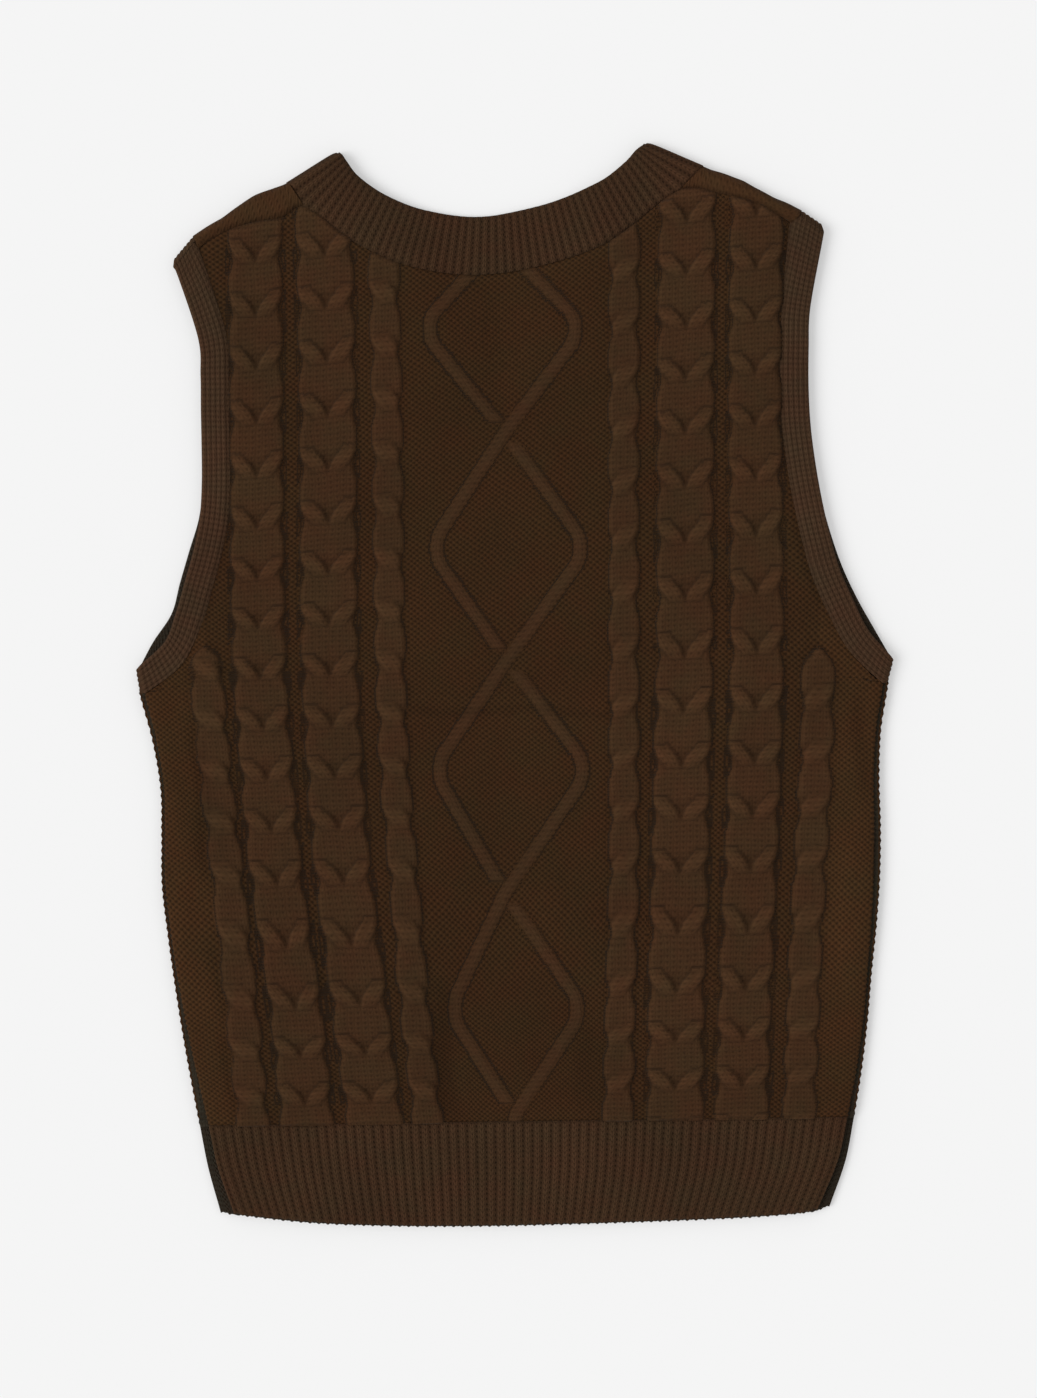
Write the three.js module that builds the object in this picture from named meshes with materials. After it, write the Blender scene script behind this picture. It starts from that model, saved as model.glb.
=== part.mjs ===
// A sleeveless cable-knit pullover with a V neck, laid flat on its front: the back is the upper layer
// and the V lies hidden in the lower one. Millimetres; +Y runs from hem to shoulders, +Z is up, and
// z = 0 is the surface it lies on. Left is the wearer's left, at -X.
//
// Seven knitted pieces: front_panel runs over both shoulders to the shoulder seams on the back,
// back_panel lies on it, hem_front and hem_back are the two ribbed welts, and neckband, armband_left
// and armband_right are ribbed rings that turn over the shoulder and underarm folds. The origin is
// under the middle of the garment.
import * as THREE from "three";

// ---- driving sizes ----
const SEAM_GAP = 0.3; // between two pieces that are sewn together, and between the two layers
const FRONT_WALL = 3.6; // lower layer, its cables pressed level with the ground
const BACK_WALL = 2.4; // upper layer between its cables
const CABLE_RISE = 2; // a cable above the ground of the upper layer
const CABLE_FLANK = 2.5; // width of the slope on each side of a cable
const BAND_WALL = 3; // ribbed bands and welts
const BAND_WIDTH = 16; // armbands
const TOP_CLEARANCE = 0.7; // groove between the back panel and what is sewn to its top
const EDGE_ROUND = 8; // width over which a side edge rounds off
const EDGE_DROP = 0.6; // how far the lower layer's upper face falls at a side edge
const EDGE_THIN = 1; // how much of its wall the upper layer loses at a side edge
const TOE_ROUND = 2.5; // width over which the lower layer leaves the surface at a side edge
const TOE_RISE = 0.9;
const SAG_WIDTH = 40; // width over which the back settles into the V of the front
const NECK_DEPTH = 170; // from the neck points down to the tip of the V
const MIDDLE_X = -6; // the tip of the V, off the middle because the garment lies a little askew
const MIDDLE_LEAN = 2; // the middle of the front moves this far to the right below the V
const BAND_TOP = FRONT_WALL + SEAM_GAP + BAND_WALL; // upper face of a band in the upper layer
const FOLD_REACH = BAND_TOP / 2; // radius outside a fold
const ARM_STEPS = 12; // sections of an armband between its underarm and shoulder folds
const V_STEP = 4; // the section of the armhole that is level with the tip of the V
const FOLD_ANGLES = [45, 90, 135]; // sections around a fold, from the upper layer to the lower one

// ---- tables: smooth curves through their rows ----
// Side seams from hem to underarm: outline is the lower layer's edge, inset how far inside it the
// upper layer stops.
const SIDE_LEFT = [
  { y: -306, outline: -168, inset: 10 },
  { y: -285, outline: -174.8, inset: 8 },
  { y: -250, outline: -182, inset: 6.8 },
  { y: -205, outline: -190.4, inset: 4.6 },
  { y: -160, outline: -197.4, inset: 3.4 },
  { y: -110, outline: -203.4, inset: 2 },
  { y: -70, outline: -203.2, inset: 2 },
  { y: -40, outline: -206.5, inset: 2.2 },
  { y: -12, outline: -214.4, inset: 3 },
  { y: 12, outline: -218.7, inset: 3.45 },
];
const SIDE_RIGHT = [
  { y: -302, outline: 179, inset: 9 },
  { y: -284, outline: 187.4, inset: 5.5 },
  { y: -250, outline: 194.8, inset: 4 },
  { y: -205, outline: 201.5, inset: 2.8 },
  { y: -160, outline: 205.6, inset: 2.6 },
  { y: -120, outline: 209.4, inset: 3.6 },
  { y: -75, outline: 210.3, inset: 3.8 },
  { y: -40, outline: 209.4, inset: 3 },
  { y: -5, outline: 213.2, inset: 3 },
  { y: 18, outline: 218.7, inset: 3.45 },
];
// Armhole edges from underarm to shoulder tip, for the upper and the lower layer.
const ARMHOLE_LEFT = [
  { y: 12, back: -215.2, front: -218.7 },
  { y: 20, back: -205.6, front: -212.4 },
  { y: 30, back: -198.6, front: -204.6 },
  { y: 42, back: -195, front: -197.4 },
  { y: 60, back: -189.8, front: -192.6 },
  { y: 80, back: -184.4, front: -186.8 },
  { y: 105, back: -180.4, front: -180.4 },
  { y: 160, back: -180.6, front: -180.2 },
  { y: 192, back: -181.4, front: -181 },
  { y: 214, back: -184.8, front: -184.4 },
  { y: 229, back: -190.6, front: -190.2 },
  { y: 243, back: -196.3, front: -196.3 },
];
const ARMHOLE_RIGHT = [
  { y: 18, back: 215.2, front: 218.7 },
  { y: 30, back: 204.4, front: 208.6 },
  { y: 42, back: 198.4, front: 201.2 },
  { y: 56, back: 191.1, front: 194.2 },
  { y: 71, back: 185.4, front: 187.4 },
  { y: 105, back: 176.8, front: 176.8 },
  { y: 150, back: 169.9, front: 169.6 },
  { y: 193, back: 168.8, front: 168.4 },
  { y: 235, back: 171.6, front: 171.2 },
  { y: 263.8, back: 176.8, front: 176.8 },
];
// Shoulder folds, the upper outline from each tip to the neck point.
const SHOULDER_LEFT = [
  { x: -196.3, y: 243.1 },
  { x: -186.6, y: 256.9 },
  { x: -172.2, y: 267.2 },
  { x: -152.1, y: 281 },
  { x: -131.4, y: 289.6 },
  { x: -123.4, y: 296.5 },
  { x: -101.6, y: 306.2 },
];
const SHOULDER_RIGHT = [
  { x: 74.6, y: 311.4 },
  { x: 94.7, y: 304.5 },
  { x: 107.9, y: 299.3 },
  { x: 129.2, y: 291.3 },
  { x: 152.1, y: 279.8 },
  { x: 163.6, y: 274.1 },
  { x: 176.8, y: 263.8 },
];
// Seam across the top of the back panel: left shoulder, neck, right shoulder.
const TOP_SEAM = [
  { x: -182, y: 251.7 },
  { x: -169.3, y: 260.3 },
  { x: -147.5, y: 267.2 },
  { x: -134.9, y: 268.9 },
  { x: -121.7, y: 276 },
  { x: -97.6, y: 258.6 },
  { x: -66, y: 243.1 },
  { x: -25, y: 236.8 },
  { x: 17.2, y: 242.6 },
  { x: 54.5, y: 256 },
  { x: 94.7, y: 285.2 },
  { x: 117.7, y: 283.3 },
  { x: 140.6, y: 277 },
  { x: 158.5, y: 266.5 },
];
// The neck's free edge across the back, from the left neck point to the right one.
const NECK_SEAM = [-121.7, 94.7]; // the part of the top seam that the neckband takes
const NECK_EDGE = [
  { x: -101.6, y: 306.2 },
  { x: -89, y: 291.3 },
  { x: -66, y: 278.1 },
  { x: -43, y: 271.8 },
  { x: -20, y: 269.8 },
  { x: 3, y: 273.5 },
  { x: 25.8, y: 279.8 },
  { x: 48.8, y: 290.1 },
  { x: 60.3, y: 297.6 },
  { x: 74.6, y: 311.4 },
];
const HEM_SEAM = [
  { x: -190, y: -253.5 },
  { x: 0, y: -250.8 },
  { x: 195, y: -248.2 },
];
const HEM_EDGE = [
  { x: -175, y: -302 },
  { x: -158, y: -305 },
  { x: -120, y: -309.2 },
  { x: -43, y: -311.4 },
  { x: 60, y: -309.2 },
  { x: 152, y: -305.2 },
  { x: 170, y: -303 },
  { x: 185, y: -298 },
];
// Half widths of the cables, and where their middles run at each height of the upper layer.
const CABLE_HALF = { d: 9, a: 15.5, b: 16.5, c: 9 };
const CABLES = [
  { y: -255, dl: -150, al: -119, bl: -80, cl: -49.5, cr: 59, br: 92, ar: 130, dr: 163 },
  { y: -185, dl: -157, al: -126, bl: -89, cl: -57.5, cr: 60.5, br: 92.5, ar: 132, dr: 165.5 },
  { y: -110, dl: -165, al: -137, bl: -98.5, cl: -64, cr: 62.5, br: 94.7, ar: 135, dr: 169 },
  { y: -50, dl: -172, al: -142.5, bl: -103.3, cl: -69, cr: 62.6, br: 95.8, ar: 137.5, dr: 172.5 },
  { y: 20, dl: -178, al: -147, bl: -106.5, cl: -71.8, cr: 62.6, br: 97.6, ar: 139, dr: 174.5 },
  { y: 160, dl: -184, al: -148.5, bl: -107.5, cl: -73.5, cr: 62.6, br: 98, ar: 138, dr: 178 },
  { y: 280, dl: -186, al: -149.5, bl: -110, cl: -76.5, cr: 63, br: 99, ar: 139, dr: 180 },
];
const OUTER_CABLE_TOP = 30; // above this height the armholes cut the outer cables away

// Dark brown yarn: the cabled panels read a little lighter than the ribs, which hold more shadow.
const PANEL_BROWN = 0x402e20;
const RIB_BROWN = 0x3a291b;
const YARN_ROUGHNESS = 0.95;

// ---- curves ----
const { lerp, clamp, smoothstep } = THREE.MathUtils;
const point = (x, y) => new THREE.Vector2(x, y);

// A column of a table at one value of its key, on a cubic curve through the rows.
function read(rows, key, column, at) {
  const last = rows.length - 1;
  const found = rows.findIndex((row) => row[key] > at);
  const i = clamp((found < 0 ? last : found) - 1, 0, last - 1);
  const slope = (j) => {
    const before = rows[Math.max(j - 1, 0)];
    const after = rows[Math.min(j + 1, last)];
    return (after[column] - before[column]) / (after[key] - before[key]);
  };
  const span = rows[i + 1][key] - rows[i][key];
  const t = clamp((at - rows[i][key]) / span, 0, 1);
  const [t2, t3] = [t * t, t * t * t];
  return (
    (2 * t3 - 3 * t2 + 1) * rows[i][column] +
    (t3 - 2 * t2 + t) * span * slope(i) +
    (3 * t2 - 2 * t3) * rows[i + 1][column] +
    (t3 - t2) * span * slope(i + 1)
  );
}

const SIDES = {
  left: { sign: -1, seam: SIDE_LEFT, armhole: ARMHOLE_LEFT, shoulder: SHOULDER_LEFT },
  right: { sign: 1, seam: SIDE_RIGHT, armhole: ARMHOLE_RIGHT, shoulder: SHOULDER_RIGHT },
};

// Where a layer's side edge runs.
function sideEdge(side, layer, y) {
  const outline = read(side.seam, "y", "outline", y);
  return layer === "front" ? outline : outline - side.sign * read(side.seam, "y", "inset", y);
}

// The shoulder's straight direction from tip to neck, and the direction out of the garment there.
function shoulderFrame(side) {
  const rows = side.sign < 0 ? side.shoulder : [...side.shoulder].reverse();
  const tip = point(rows[0].x, rows[0].y);
  const neck = point(rows.at(-1).x, rows.at(-1).y);
  const toNeck = neck.clone().sub(tip).normalize();
  return { tip, neck, toNeck, out: point(side.sign * toNeck.y, Math.abs(toNeck.x)) };
}

// The corners where neckband, front flap and fold meet: the neck seam's ends on the two folds.
const NECK_CORNER = { left: point(-131.4, 289.6), right: point(107.9, 299.3) };

// ---- heights of the two layers ----
// 1 at an edge, falling to 0 over a width, round like a bent cloth.
function rounding(distance, width) {
  const inside = clamp(1 - distance / width, 0, 1);
  return 1 - Math.sqrt(1 - inside * inside);
}

// Distance in from the garment's side outline, or far where the armholes take its place.
function sideDistance(x, y) {
  const side = x < 0 ? SIDES.left : SIDES.right;
  const top = side.seam.at(-1).y;
  return y > top ? EDGE_ROUND : side.sign * (sideEdge(side, "front", y) - x);
}

const V_TIP = point(MIDDLE_X, SHOULDER_LEFT.at(-1).y - NECK_DEPTH);

// How far a point lies inside the open V of the lower layer.
function insideV(x, y) {
  const reach = (side) => {
    const edge = shoulderFrame(side).neck.sub(V_TIP);
    return (side.sign * (edge.x * (y - V_TIP.y) - edge.y * (x - V_TIP.x))) / edge.length();
  };
  return Math.min(reach(SIDES.left), reach(SIDES.right));
}

// Upper face of the lower layer, and the lower face of the upper layer that lies on it. Over the V
// there is no lower layer, so the upper one settles almost to the surface below.
function frontTop(x, y) {
  return FRONT_WALL - EDGE_DROP * rounding(sideDistance(x, y), EDGE_ROUND);
}
function backRest(x, y) {
  return frontTop(x, y) + SEAM_GAP - FRONT_WALL * smoothstep(insideV(x, y), 0, SAG_WIDTH);
}

// ---- stations and walls ----
// A station is one point of a piece: its place on the right side of the knit and on the wrong side.
function upper(x, y, wall) {
  const rest = backRest(x, y);
  return { outer: new THREE.Vector3(x, y, rest + wall), inner: new THREE.Vector3(x, y, rest) };
}
function lower(x, y, wall, toe = 0) {
  const drop = FRONT_WALL - frontTop(x, y);
  return { outer: new THREE.Vector3(x, y, toe), inner: new THREE.Vector3(x, y, wall - drop) };
}

// A station on a fold: angle 0 is the upper layer, 180 the lower one, 90 the outline itself.
function folded(edge, out, angle, lowerWall) {
  const turn = THREE.MathUtils.degToRad(angle);
  const centre = edge.clone().addScaledVector(out, -FOLD_REACH);
  const restTop = FRONT_WALL + SEAM_GAP;
  const innerRadius = (restTop - lowerWall) / 2;
  const place = (radius, height) => {
    const at = centre.clone().addScaledVector(out, radius * Math.sin(turn));
    return new THREE.Vector3(at.x, at.y, height + radius * Math.cos(turn));
  };
  return { outer: place(FOLD_REACH, FOLD_REACH), inner: place(innerRadius, restTop - innerRadius) };
}

// A free edge of a band is thinner than its body, so a station there is pinched to its middle.
function pinch(station, share) {
  const middle = station.outer.clone().add(station.inner).multiplyScalar(0.5);
  return {
    outer: middle.clone().lerp(station.outer, share),
    inner: middle.clone().lerp(station.inner, share),
  };
}

// Quads between the rows of a grid of stations. Each is wound so that outer faces out.
function quads(rows, closed = false) {
  const cells = [];
  const count = closed ? rows.length : rows.length - 1;
  for (let i = 0; i < count; i++) {
    const [a, b] = [rows[i], rows[(i + 1) % rows.length]];
    for (let j = 0; j + 1 < a.length; j++) cells.push([a[j], a[j + 1], b[j + 1], b[j]]);
  }
  return cells;
}

// A closed wall: every quad on both sides of the knit, and a strip along each edge that one quad has.
function wallMesh(name, cells) {
  const numbers = new Map();
  const positions = [];
  const number = (station) => {
    if (!numbers.has(station)) {
      numbers.set(station, numbers.size * 2);
      positions.push(...station.outer.toArray(), ...station.inner.toArray());
    }
    return numbers.get(station);
  };
  const edges = new Set();
  const indices = [];
  for (const cell of cells) {
    const [a, b, c, d] = cell.map(number);
    indices.push(a, b, c, a, c, d, a + 1, c + 1, b + 1, a + 1, d + 1, c + 1);
    for (const [from, to] of [[a, b], [b, c], [c, d], [d, a]]) edges.add(`${from},${to}`);
  }
  for (const edge of edges) {
    const [from, to] = edge.split(",").map(Number);
    if (!edges.has(`${to},${from}`)) indices.push(to, from, from + 1, to, from + 1, to + 1);
  }
  const geometry = new THREE.BufferGeometry();
  geometry.setAttribute("position", new THREE.Float32BufferAttribute(positions, 3));
  geometry.setIndex(indices);
  geometry.computeVertexNormals();
  const color = name.endsWith("panel") ? PANEL_BROWN : RIB_BROWN;
  const yarn = new THREE.MeshStandardMaterial({ color, roughness: YARN_ROUGHNESS, metalness: 0 });
  const mesh = new THREE.Mesh(geometry, yarn);
  mesh.name = name;
  return mesh;
}

// ---- armbands ----
const UNDERARM_CROWDING = 1.15; // over 1 puts an armband's sections closer together at the underarm
const BELOW_TIP = 8; // from the shoulder tip down to the section that ends at the shoulder seam
const FOLD_TURN = 0.5; // how far the sections next to a fold already turn towards it

// Section i of an armband in one layer: its free edge and its seam, from underarm (0) to shoulder.
function armSection(side, layer, i) {
  const [first, last] = [side.armhole[0], side.armhole.at(-1)];
  const frame = shoulderFrame(side);
  const edgeAt = (y) => point(read(side.armhole, "y", layer, y), y);
  const shoulderSeam = side.sign < 0 ? TOP_SEAM[0] : TOP_SEAM.at(-1);
  if (i === 0) {
    const low = first.y - BAND_WIDTH;
    return { edge: edgeAt(first.y), seam: point(sideEdge(side, layer, low), low) };
  }
  if (i === ARM_STEPS) {
    const seamX = frame.tip.x + frame.toNeck.x * BAND_WIDTH;
    return { edge: frame.tip, seam: point(seamX, read(side.shoulder, "x", "y", seamX)) };
  }
  if (i === ARM_STEPS - 1) {
    return { edge: edgeAt(last.y - BELOW_TIP), seam: point(shoulderSeam.x, shoulderSeam.y) };
  }
  const y = lerp(first.y, last.y, Math.pow(i / ARM_STEPS, UNDERARM_CROWDING));
  const edge = edgeAt(y);
  const tangent = edgeAt(y + 1).sub(edgeAt(y - 1)).normalize();
  const inward = point(-side.sign * tangent.y, side.sign * tangent.x);
  if (i === 1) inward.add(point(0, -FOLD_TURN)).normalize();
  if (i === ARM_STEPS - 2) inward.addScaledVector(frame.toNeck, FOLD_TURN).normalize();
  return { edge, seam: edge.clone().addScaledVector(inward, BAND_WIDTH) };
}

// Across a band: how far from its free edge, as a share of its width, and how thick there.
const BAND_PROFILE = [
  { share: 0, thick: 0.45 },
  { share: 0.07, thick: 0.85 },
  { share: 0.25, thick: 1 },
  { share: 0.6, thick: 1 },
  { share: 1, thick: 1 },
];

// One row of stations across a band from its free edge to its seam, less half the seam gap.
function bandRow(edge, seam, makeStation) {
  const width = edge.distanceTo(seam);
  const usable = (width - SEAM_GAP / 2) / width;
  return BAND_PROFILE.map(({ share, thick }) => {
    const at = edge.clone().lerp(seam, share * usable);
    return pinch(makeStation(at), thick);
  });
}

function armband(name, side) {
  const rows = [];
  const frame = shoulderFrame(side);
  const sideOut = point(side.sign, 0);
  const inset = (section, out) => ({
    edge: section.edge.clone().addScaledVector(out, -FOLD_REACH),
    seam: section.seam.clone().addScaledVector(out, -FOLD_REACH),
  });
  const flatRow = (layer, i) => {
    let section = armSection(side, layer, i);
    if (i === ARM_STEPS) section = inset(section, frame.out);
    if (i === 0) section = inset(armSection(side, "front", 0), sideOut);
    const station = (at) =>
      layer === "back" ? upper(at.x, at.y, BAND_WALL) : lower(at.x, at.y, BAND_WALL);
    return bandRow(section.edge, section.seam, station);
  };
  const foldRow = (i, out, angle) => {
    const section = armSection(side, "front", i);
    return bandRow(section.edge, section.seam, (at) => folded(at, out, angle, BAND_WALL));
  };
  for (let i = 0; i <= ARM_STEPS; i++) rows.push(flatRow("back", i));
  for (const angle of FOLD_ANGLES) rows.push(foldRow(ARM_STEPS, frame.out, angle));
  for (let i = ARM_STEPS; i >= 0; i--) rows.push(flatRow("front", i));
  for (const angle of [...FOLD_ANGLES].reverse()) rows.push(foldRow(0, sideOut, angle));
  if (side.sign > 0) rows.forEach((row) => row.reverse());
  return wallMesh(name, quads(rows, true));
}

// ---- neckband ----
const BACK_NECK_STEPS = 16;
const V_STEPS = ARM_STEPS - V_STEP;
const NECK_FRAMES = { left: shoulderFrame(SIDES.left), right: shoulderFrame(SIDES.right) };

// The seam side of the V: from the middle of the front up to each fold, level with the armhole rows.
const V_SEAM_TIP = (() => {
  const level = (side) => armSection(side, "front", V_STEP).seam.y;
  return point(MIDDLE_X + MIDDLE_LEAN, (level(SIDES.left) + level(SIDES.right)) / 2);
})();
function vSection(which, step) {
  const share = step / V_STEPS;
  return {
    edge: V_TIP.clone().lerp(NECK_FRAMES[which].neck, share),
    seam: V_SEAM_TIP.clone().lerp(NECK_CORNER[which], share),
  };
}

// Across the back, the free edge and the seam are read at matching shares of their spans.
function backNeckSection(share) {
  const edgeX = lerp(NECK_EDGE[0].x, NECK_EDGE.at(-1).x, share);
  const seamX = lerp(...NECK_SEAM, share);
  return {
    edge: point(edgeX, read(NECK_EDGE, "x", "y", edgeX)),
    seam: point(seamX, read(TOP_SEAM, "x", "y", seamX)),
  };
}

function neckband() {
  const rows = [];
  const upperRow = ({ edge, seam }) => bandRow(edge, seam, (at) => upper(at.x, at.y, BAND_WALL));
  const lowerRow = ({ edge, seam }) => bandRow(edge, seam, (at) => lower(at.x, at.y, BAND_WALL));
  const foldRow = (which, angle) => {
    const { neck, out } = NECK_FRAMES[which];
    return bandRow(neck, NECK_CORNER[which], (at) => folded(at, out, angle, BAND_WALL));
  };
  for (let i = 1; i < BACK_NECK_STEPS; i++) rows.push(upperRow(backNeckSection(i / BACK_NECK_STEPS)));
  for (const angle of [0, ...FOLD_ANGLES, 180]) rows.push(foldRow("right", angle));
  for (let step = V_STEPS - 1; step > 0; step--) rows.push(lowerRow(vSection("right", step)));
  rows.push(lowerRow({ edge: V_TIP, seam: V_SEAM_TIP }));
  for (let step = 1; step < V_STEPS; step++) rows.push(lowerRow(vSection("left", step)));
  for (const angle of [180, ...[...FOLD_ANGLES].reverse(), 0]) rows.push(foldRow("left", angle));
  return wallMesh("neckband", quads(rows, true));
}

// ---- panels and welts ----
const WELT_TOP_REACH = 190; // x at which the height of the hem seam is taken for a side seam's foot
const SIDE_ROWS = 9; // rows of a panel along its side seams, the last one just under the armbands
const ARM_ROW = SIDE_ROWS + 1; // the row that starts at section 0 of the armbands
const HALF_GAP = SEAM_GAP / 2;

// Ends of a panel's row: side seams first, then the armband seams.
function panelEnds(layer, row) {
  return [SIDES.left, SIDES.right].map((side) => {
    if (row >= ARM_ROW) {
      const { x, y } = armSection(side, layer, row - ARM_ROW).seam;
      const inset = row === ARM_ROW ? FOLD_REACH + SEAM_GAP : SEAM_GAP;
      return point(x - side.sign * inset, y - HALF_GAP);
    }
    const low = read(HEM_SEAM, "x", "y", side.sign * WELT_TOP_REACH) + HALF_GAP;
    const high = armSection(side, layer, 0).seam.y - SEAM_GAP * 2;
    const y = lerp(low, high, row / SIDE_ROWS);
    return point(sideEdge(side, layer, y), y);
  });
}

// Height of a row between its ends. The first row at the armbands starts close above the row below,
// so it bows up away from its ends.
const BOW = 7;
const BOW_WIDTH = 40;
function rowHeight(row, start, end, x) {
  const straight = lerp(start.y, end.y, (x - start.x) / (end.x - start.x));
  if (row !== ARM_ROW) return straight;
  return straight + BOW * smoothstep(Math.min(Math.abs(x - start.x), Math.abs(x - end.x)), 0, BOW_WIDTH);
}

// Stations across a row of the back panel: edges, then base and top lines of every cable, with the
// plain middle between the inner ropes divided evenly.
const CABLE_NAMES = ["dl", "al", "bl", "cl", "cr", "br", "ar", "dr"];
const EDGE_LINES = [0, 1.2, 3.5, EDGE_ROUND];
const MIDDLE_LINES = 9;
const LEAST_STEP = 0.5; // between lines that the armholes push together
const OUTER_CABLE_FADE = 50; // height over which the outer cables end

function backLines(left, right) {
  const y = (left.y + right.y) / 2;
  const lines = EDGE_LINES.map((d) => ({ x: left.x + d, rise: 0 }));
  for (const name of CABLE_NAMES) {
    const middle = read(CABLES, "y", name, y);
    const half = CABLE_HALF[name[0]];
    const fade = smoothstep(y, OUTER_CABLE_TOP - OUTER_CABLE_FADE, OUTER_CABLE_TOP);
    const rise = CABLE_RISE * (name[0] === "d" ? 1 - fade : 1);
    if (name === "cr") {
      const from = lines.at(-1).x;
      const to = middle - half;
      for (let i = 1; i < MIDDLE_LINES; i++) lines.push({ x: lerp(from, to, i / MIDDLE_LINES), rise: 0 });
    }
    lines.push({ x: middle - half, rise: 0 }, { x: middle - half + CABLE_FLANK, rise });
    lines.push({ x: middle + half - CABLE_FLANK, rise }, { x: middle + half, rise: 0 });
  }
  [...EDGE_LINES].reverse().forEach((d) => lines.push({ x: right.x - d, rise: 0 }));
  const last = lines.length - 1;
  lines.forEach((line, i) => {
    line.x = clamp(line.x, left.x + i * LEAST_STEP, right.x - (last - i) * LEAST_STEP);
    if (i > 0) line.x = Math.max(line.x, lines[i - 1].x + LEAST_STEP / 2);
  });
  return lines;
}

// Rows of the armhole zone bend gradually from straight across to the shape of the top seam.
function bend(straightY, topShape, row, first, last) {
  return straightY + topShape * smoothstep(row, first, last);
}

function backPanel() {
  const rows = [];
  const lastRow = ARM_ROW + ARM_STEPS - 1;
  const [topLeft, topRight] = panelEnds("back", lastRow);
  for (let row = 0; row <= lastRow; row++) {
    const [left, right] = panelEnds("back", row);
    rows.push(
      backLines(left, right).map(({ x, rise }, i, lines) => {
        const topX = lerp(topLeft.x, topRight.x, (x - left.x) / (right.x - left.x));
        const seamY = read(TOP_SEAM, "x", "y", topX) - TOP_CLEARANCE;
        const shape = seamY - rowHeight(lastRow, topLeft, topRight, topX);
        const ends = i === 0 || i === lines.length - 1;
        const y = row === 0 ? read(HEM_SEAM, "x", "y", x) + HALF_GAP : rowHeight(row, left, right, x);
        const near = Math.min(x - left.x, right.x - x);
        const thin = row <= SIDE_ROWS ? EDGE_THIN * rounding(near, EDGE_ROUND) : 0;
        return upper(x, ends ? y : bend(y, shape, row, ARM_ROW + 2, lastRow), BACK_WALL + rise - thin);
      }),
    );
  }
  return wallMesh("back_panel", quads(rows));
}

// Lines of the front from its side seam (0) to its middle (1), close together where the edge rounds.
const FRONT_SHARES = [0, 0.006, 0.02, 0.12, 0.27, 0.42, 0.57, 0.72, 0.84, 0.93, 1]; // side seam to middle

// One side of the front: from hem to fold in the lower layer, then over the fold to the shoulder seam.
// Below the V both sides share the stations of middleColumn.
function frontHalf(which, middleColumn) {
  const side = SIDES[which];
  const splitRow = ARM_ROW + V_STEP;
  const lastRow = ARM_ROW + ARM_STEPS;
  const corner = NECK_CORNER[which];
  const foldStart = armSection(side, "front", ARM_STEPS).seam;
  const foldPoints = FRONT_SHARES.map((share) => {
    const x = lerp(foldStart.x - side.sign * HALF_GAP, corner.x + side.sign * SEAM_GAP, share);
    return point(x, read(side.shoulder, "x", "y", x));
  });
  const station = (x, y, row) => {
    const near = Math.abs(x - sideEdge(side, "front", y));
    return lower(x, y, FRONT_WALL, row <= SIDE_ROWS ? TOE_RISE * rounding(near, TOE_ROUND) : 0);
  };
  const rows = [];
  for (let row = 0; row < lastRow; row++) {
    const ends = panelEnds("front", row);
    const start = ends[side.sign < 0 ? 0 : 1];
    const split = row > splitRow;
    const middle = split ? vSection(which, row - splitRow).seam : V_SEAM_TIP.clone();
    if (split) middle.x += side.sign * SEAM_GAP;
    else middle.y = row === splitRow ? middle.y - SEAM_GAP : rowHeight(row, ...ends, middle.x);
    const heightAt = (x, share, i) => {
      if (row === 0) return read(HEM_SEAM, "x", "y", x) + HALF_GAP;
      if (row < splitRow) return rowHeight(row, ...ends, x);
      const shape = foldPoints[i].y - lerp(foldPoints[0].y, foldPoints.at(-1).y, share);
      return bend(lerp(start.y, middle.y, share), shape, row, splitRow, lastRow);
    };
    const across = FRONT_SHARES.map((share, i) => {
      const x = lerp(start.x, middle.x, share);
      return station(x, heightAt(x, share, i), row);
    });
    if (!split) {
      middleColumn[row] ??= across.at(-1);
      across[across.length - 1] = middleColumn[row];
    }
    rows.push(across);
  }
  for (const angle of [180, ...[...FOLD_ANGLES].reverse(), 0]) {
    rows.push(foldPoints.map((at) => folded(at, NECK_FRAMES[which].out, angle, FRONT_WALL)));
  }
  const seamStart = (side.sign < 0 ? TOP_SEAM[0] : TOP_SEAM.at(-1)).x - side.sign * HALF_GAP;
  const seamEnd = NECK_SEAM[side.sign < 0 ? 0 : 1] + side.sign * SEAM_GAP;
  rows.push(
    FRONT_SHARES.map((share) => {
      const x = lerp(seamStart, seamEnd, share);
      return upper(x, read(TOP_SEAM, "x", "y", x) + HALF_GAP, BAND_WALL);
    }),
  );
  if (side.sign < 0) rows.forEach((row) => row.reverse());
  return quads(rows);
}

function frontPanel() {
  const middleColumn = [];
  const halves = ["left", "right"].flatMap((which) => frontHalf(which, middleColumn));
  return wallMesh("front_panel", halves);
}

// Lines across a welt, close together where its ends round, and up it from its free edge.
const WELT_SHARES = [0, 0.004, 0.012, 0.03, 0.15, 0.3, 0.45, 0.6, 0.75, 0.88, 0.97, 0.988, 0.996, 1];
const WELT_ROWS = [
  { up: 0, thick: 0.45 },
  { up: 0.03, thick: 0.9 },
  { up: 0.5, thick: 1 },
  { up: 1, thick: 1 },
];

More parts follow.
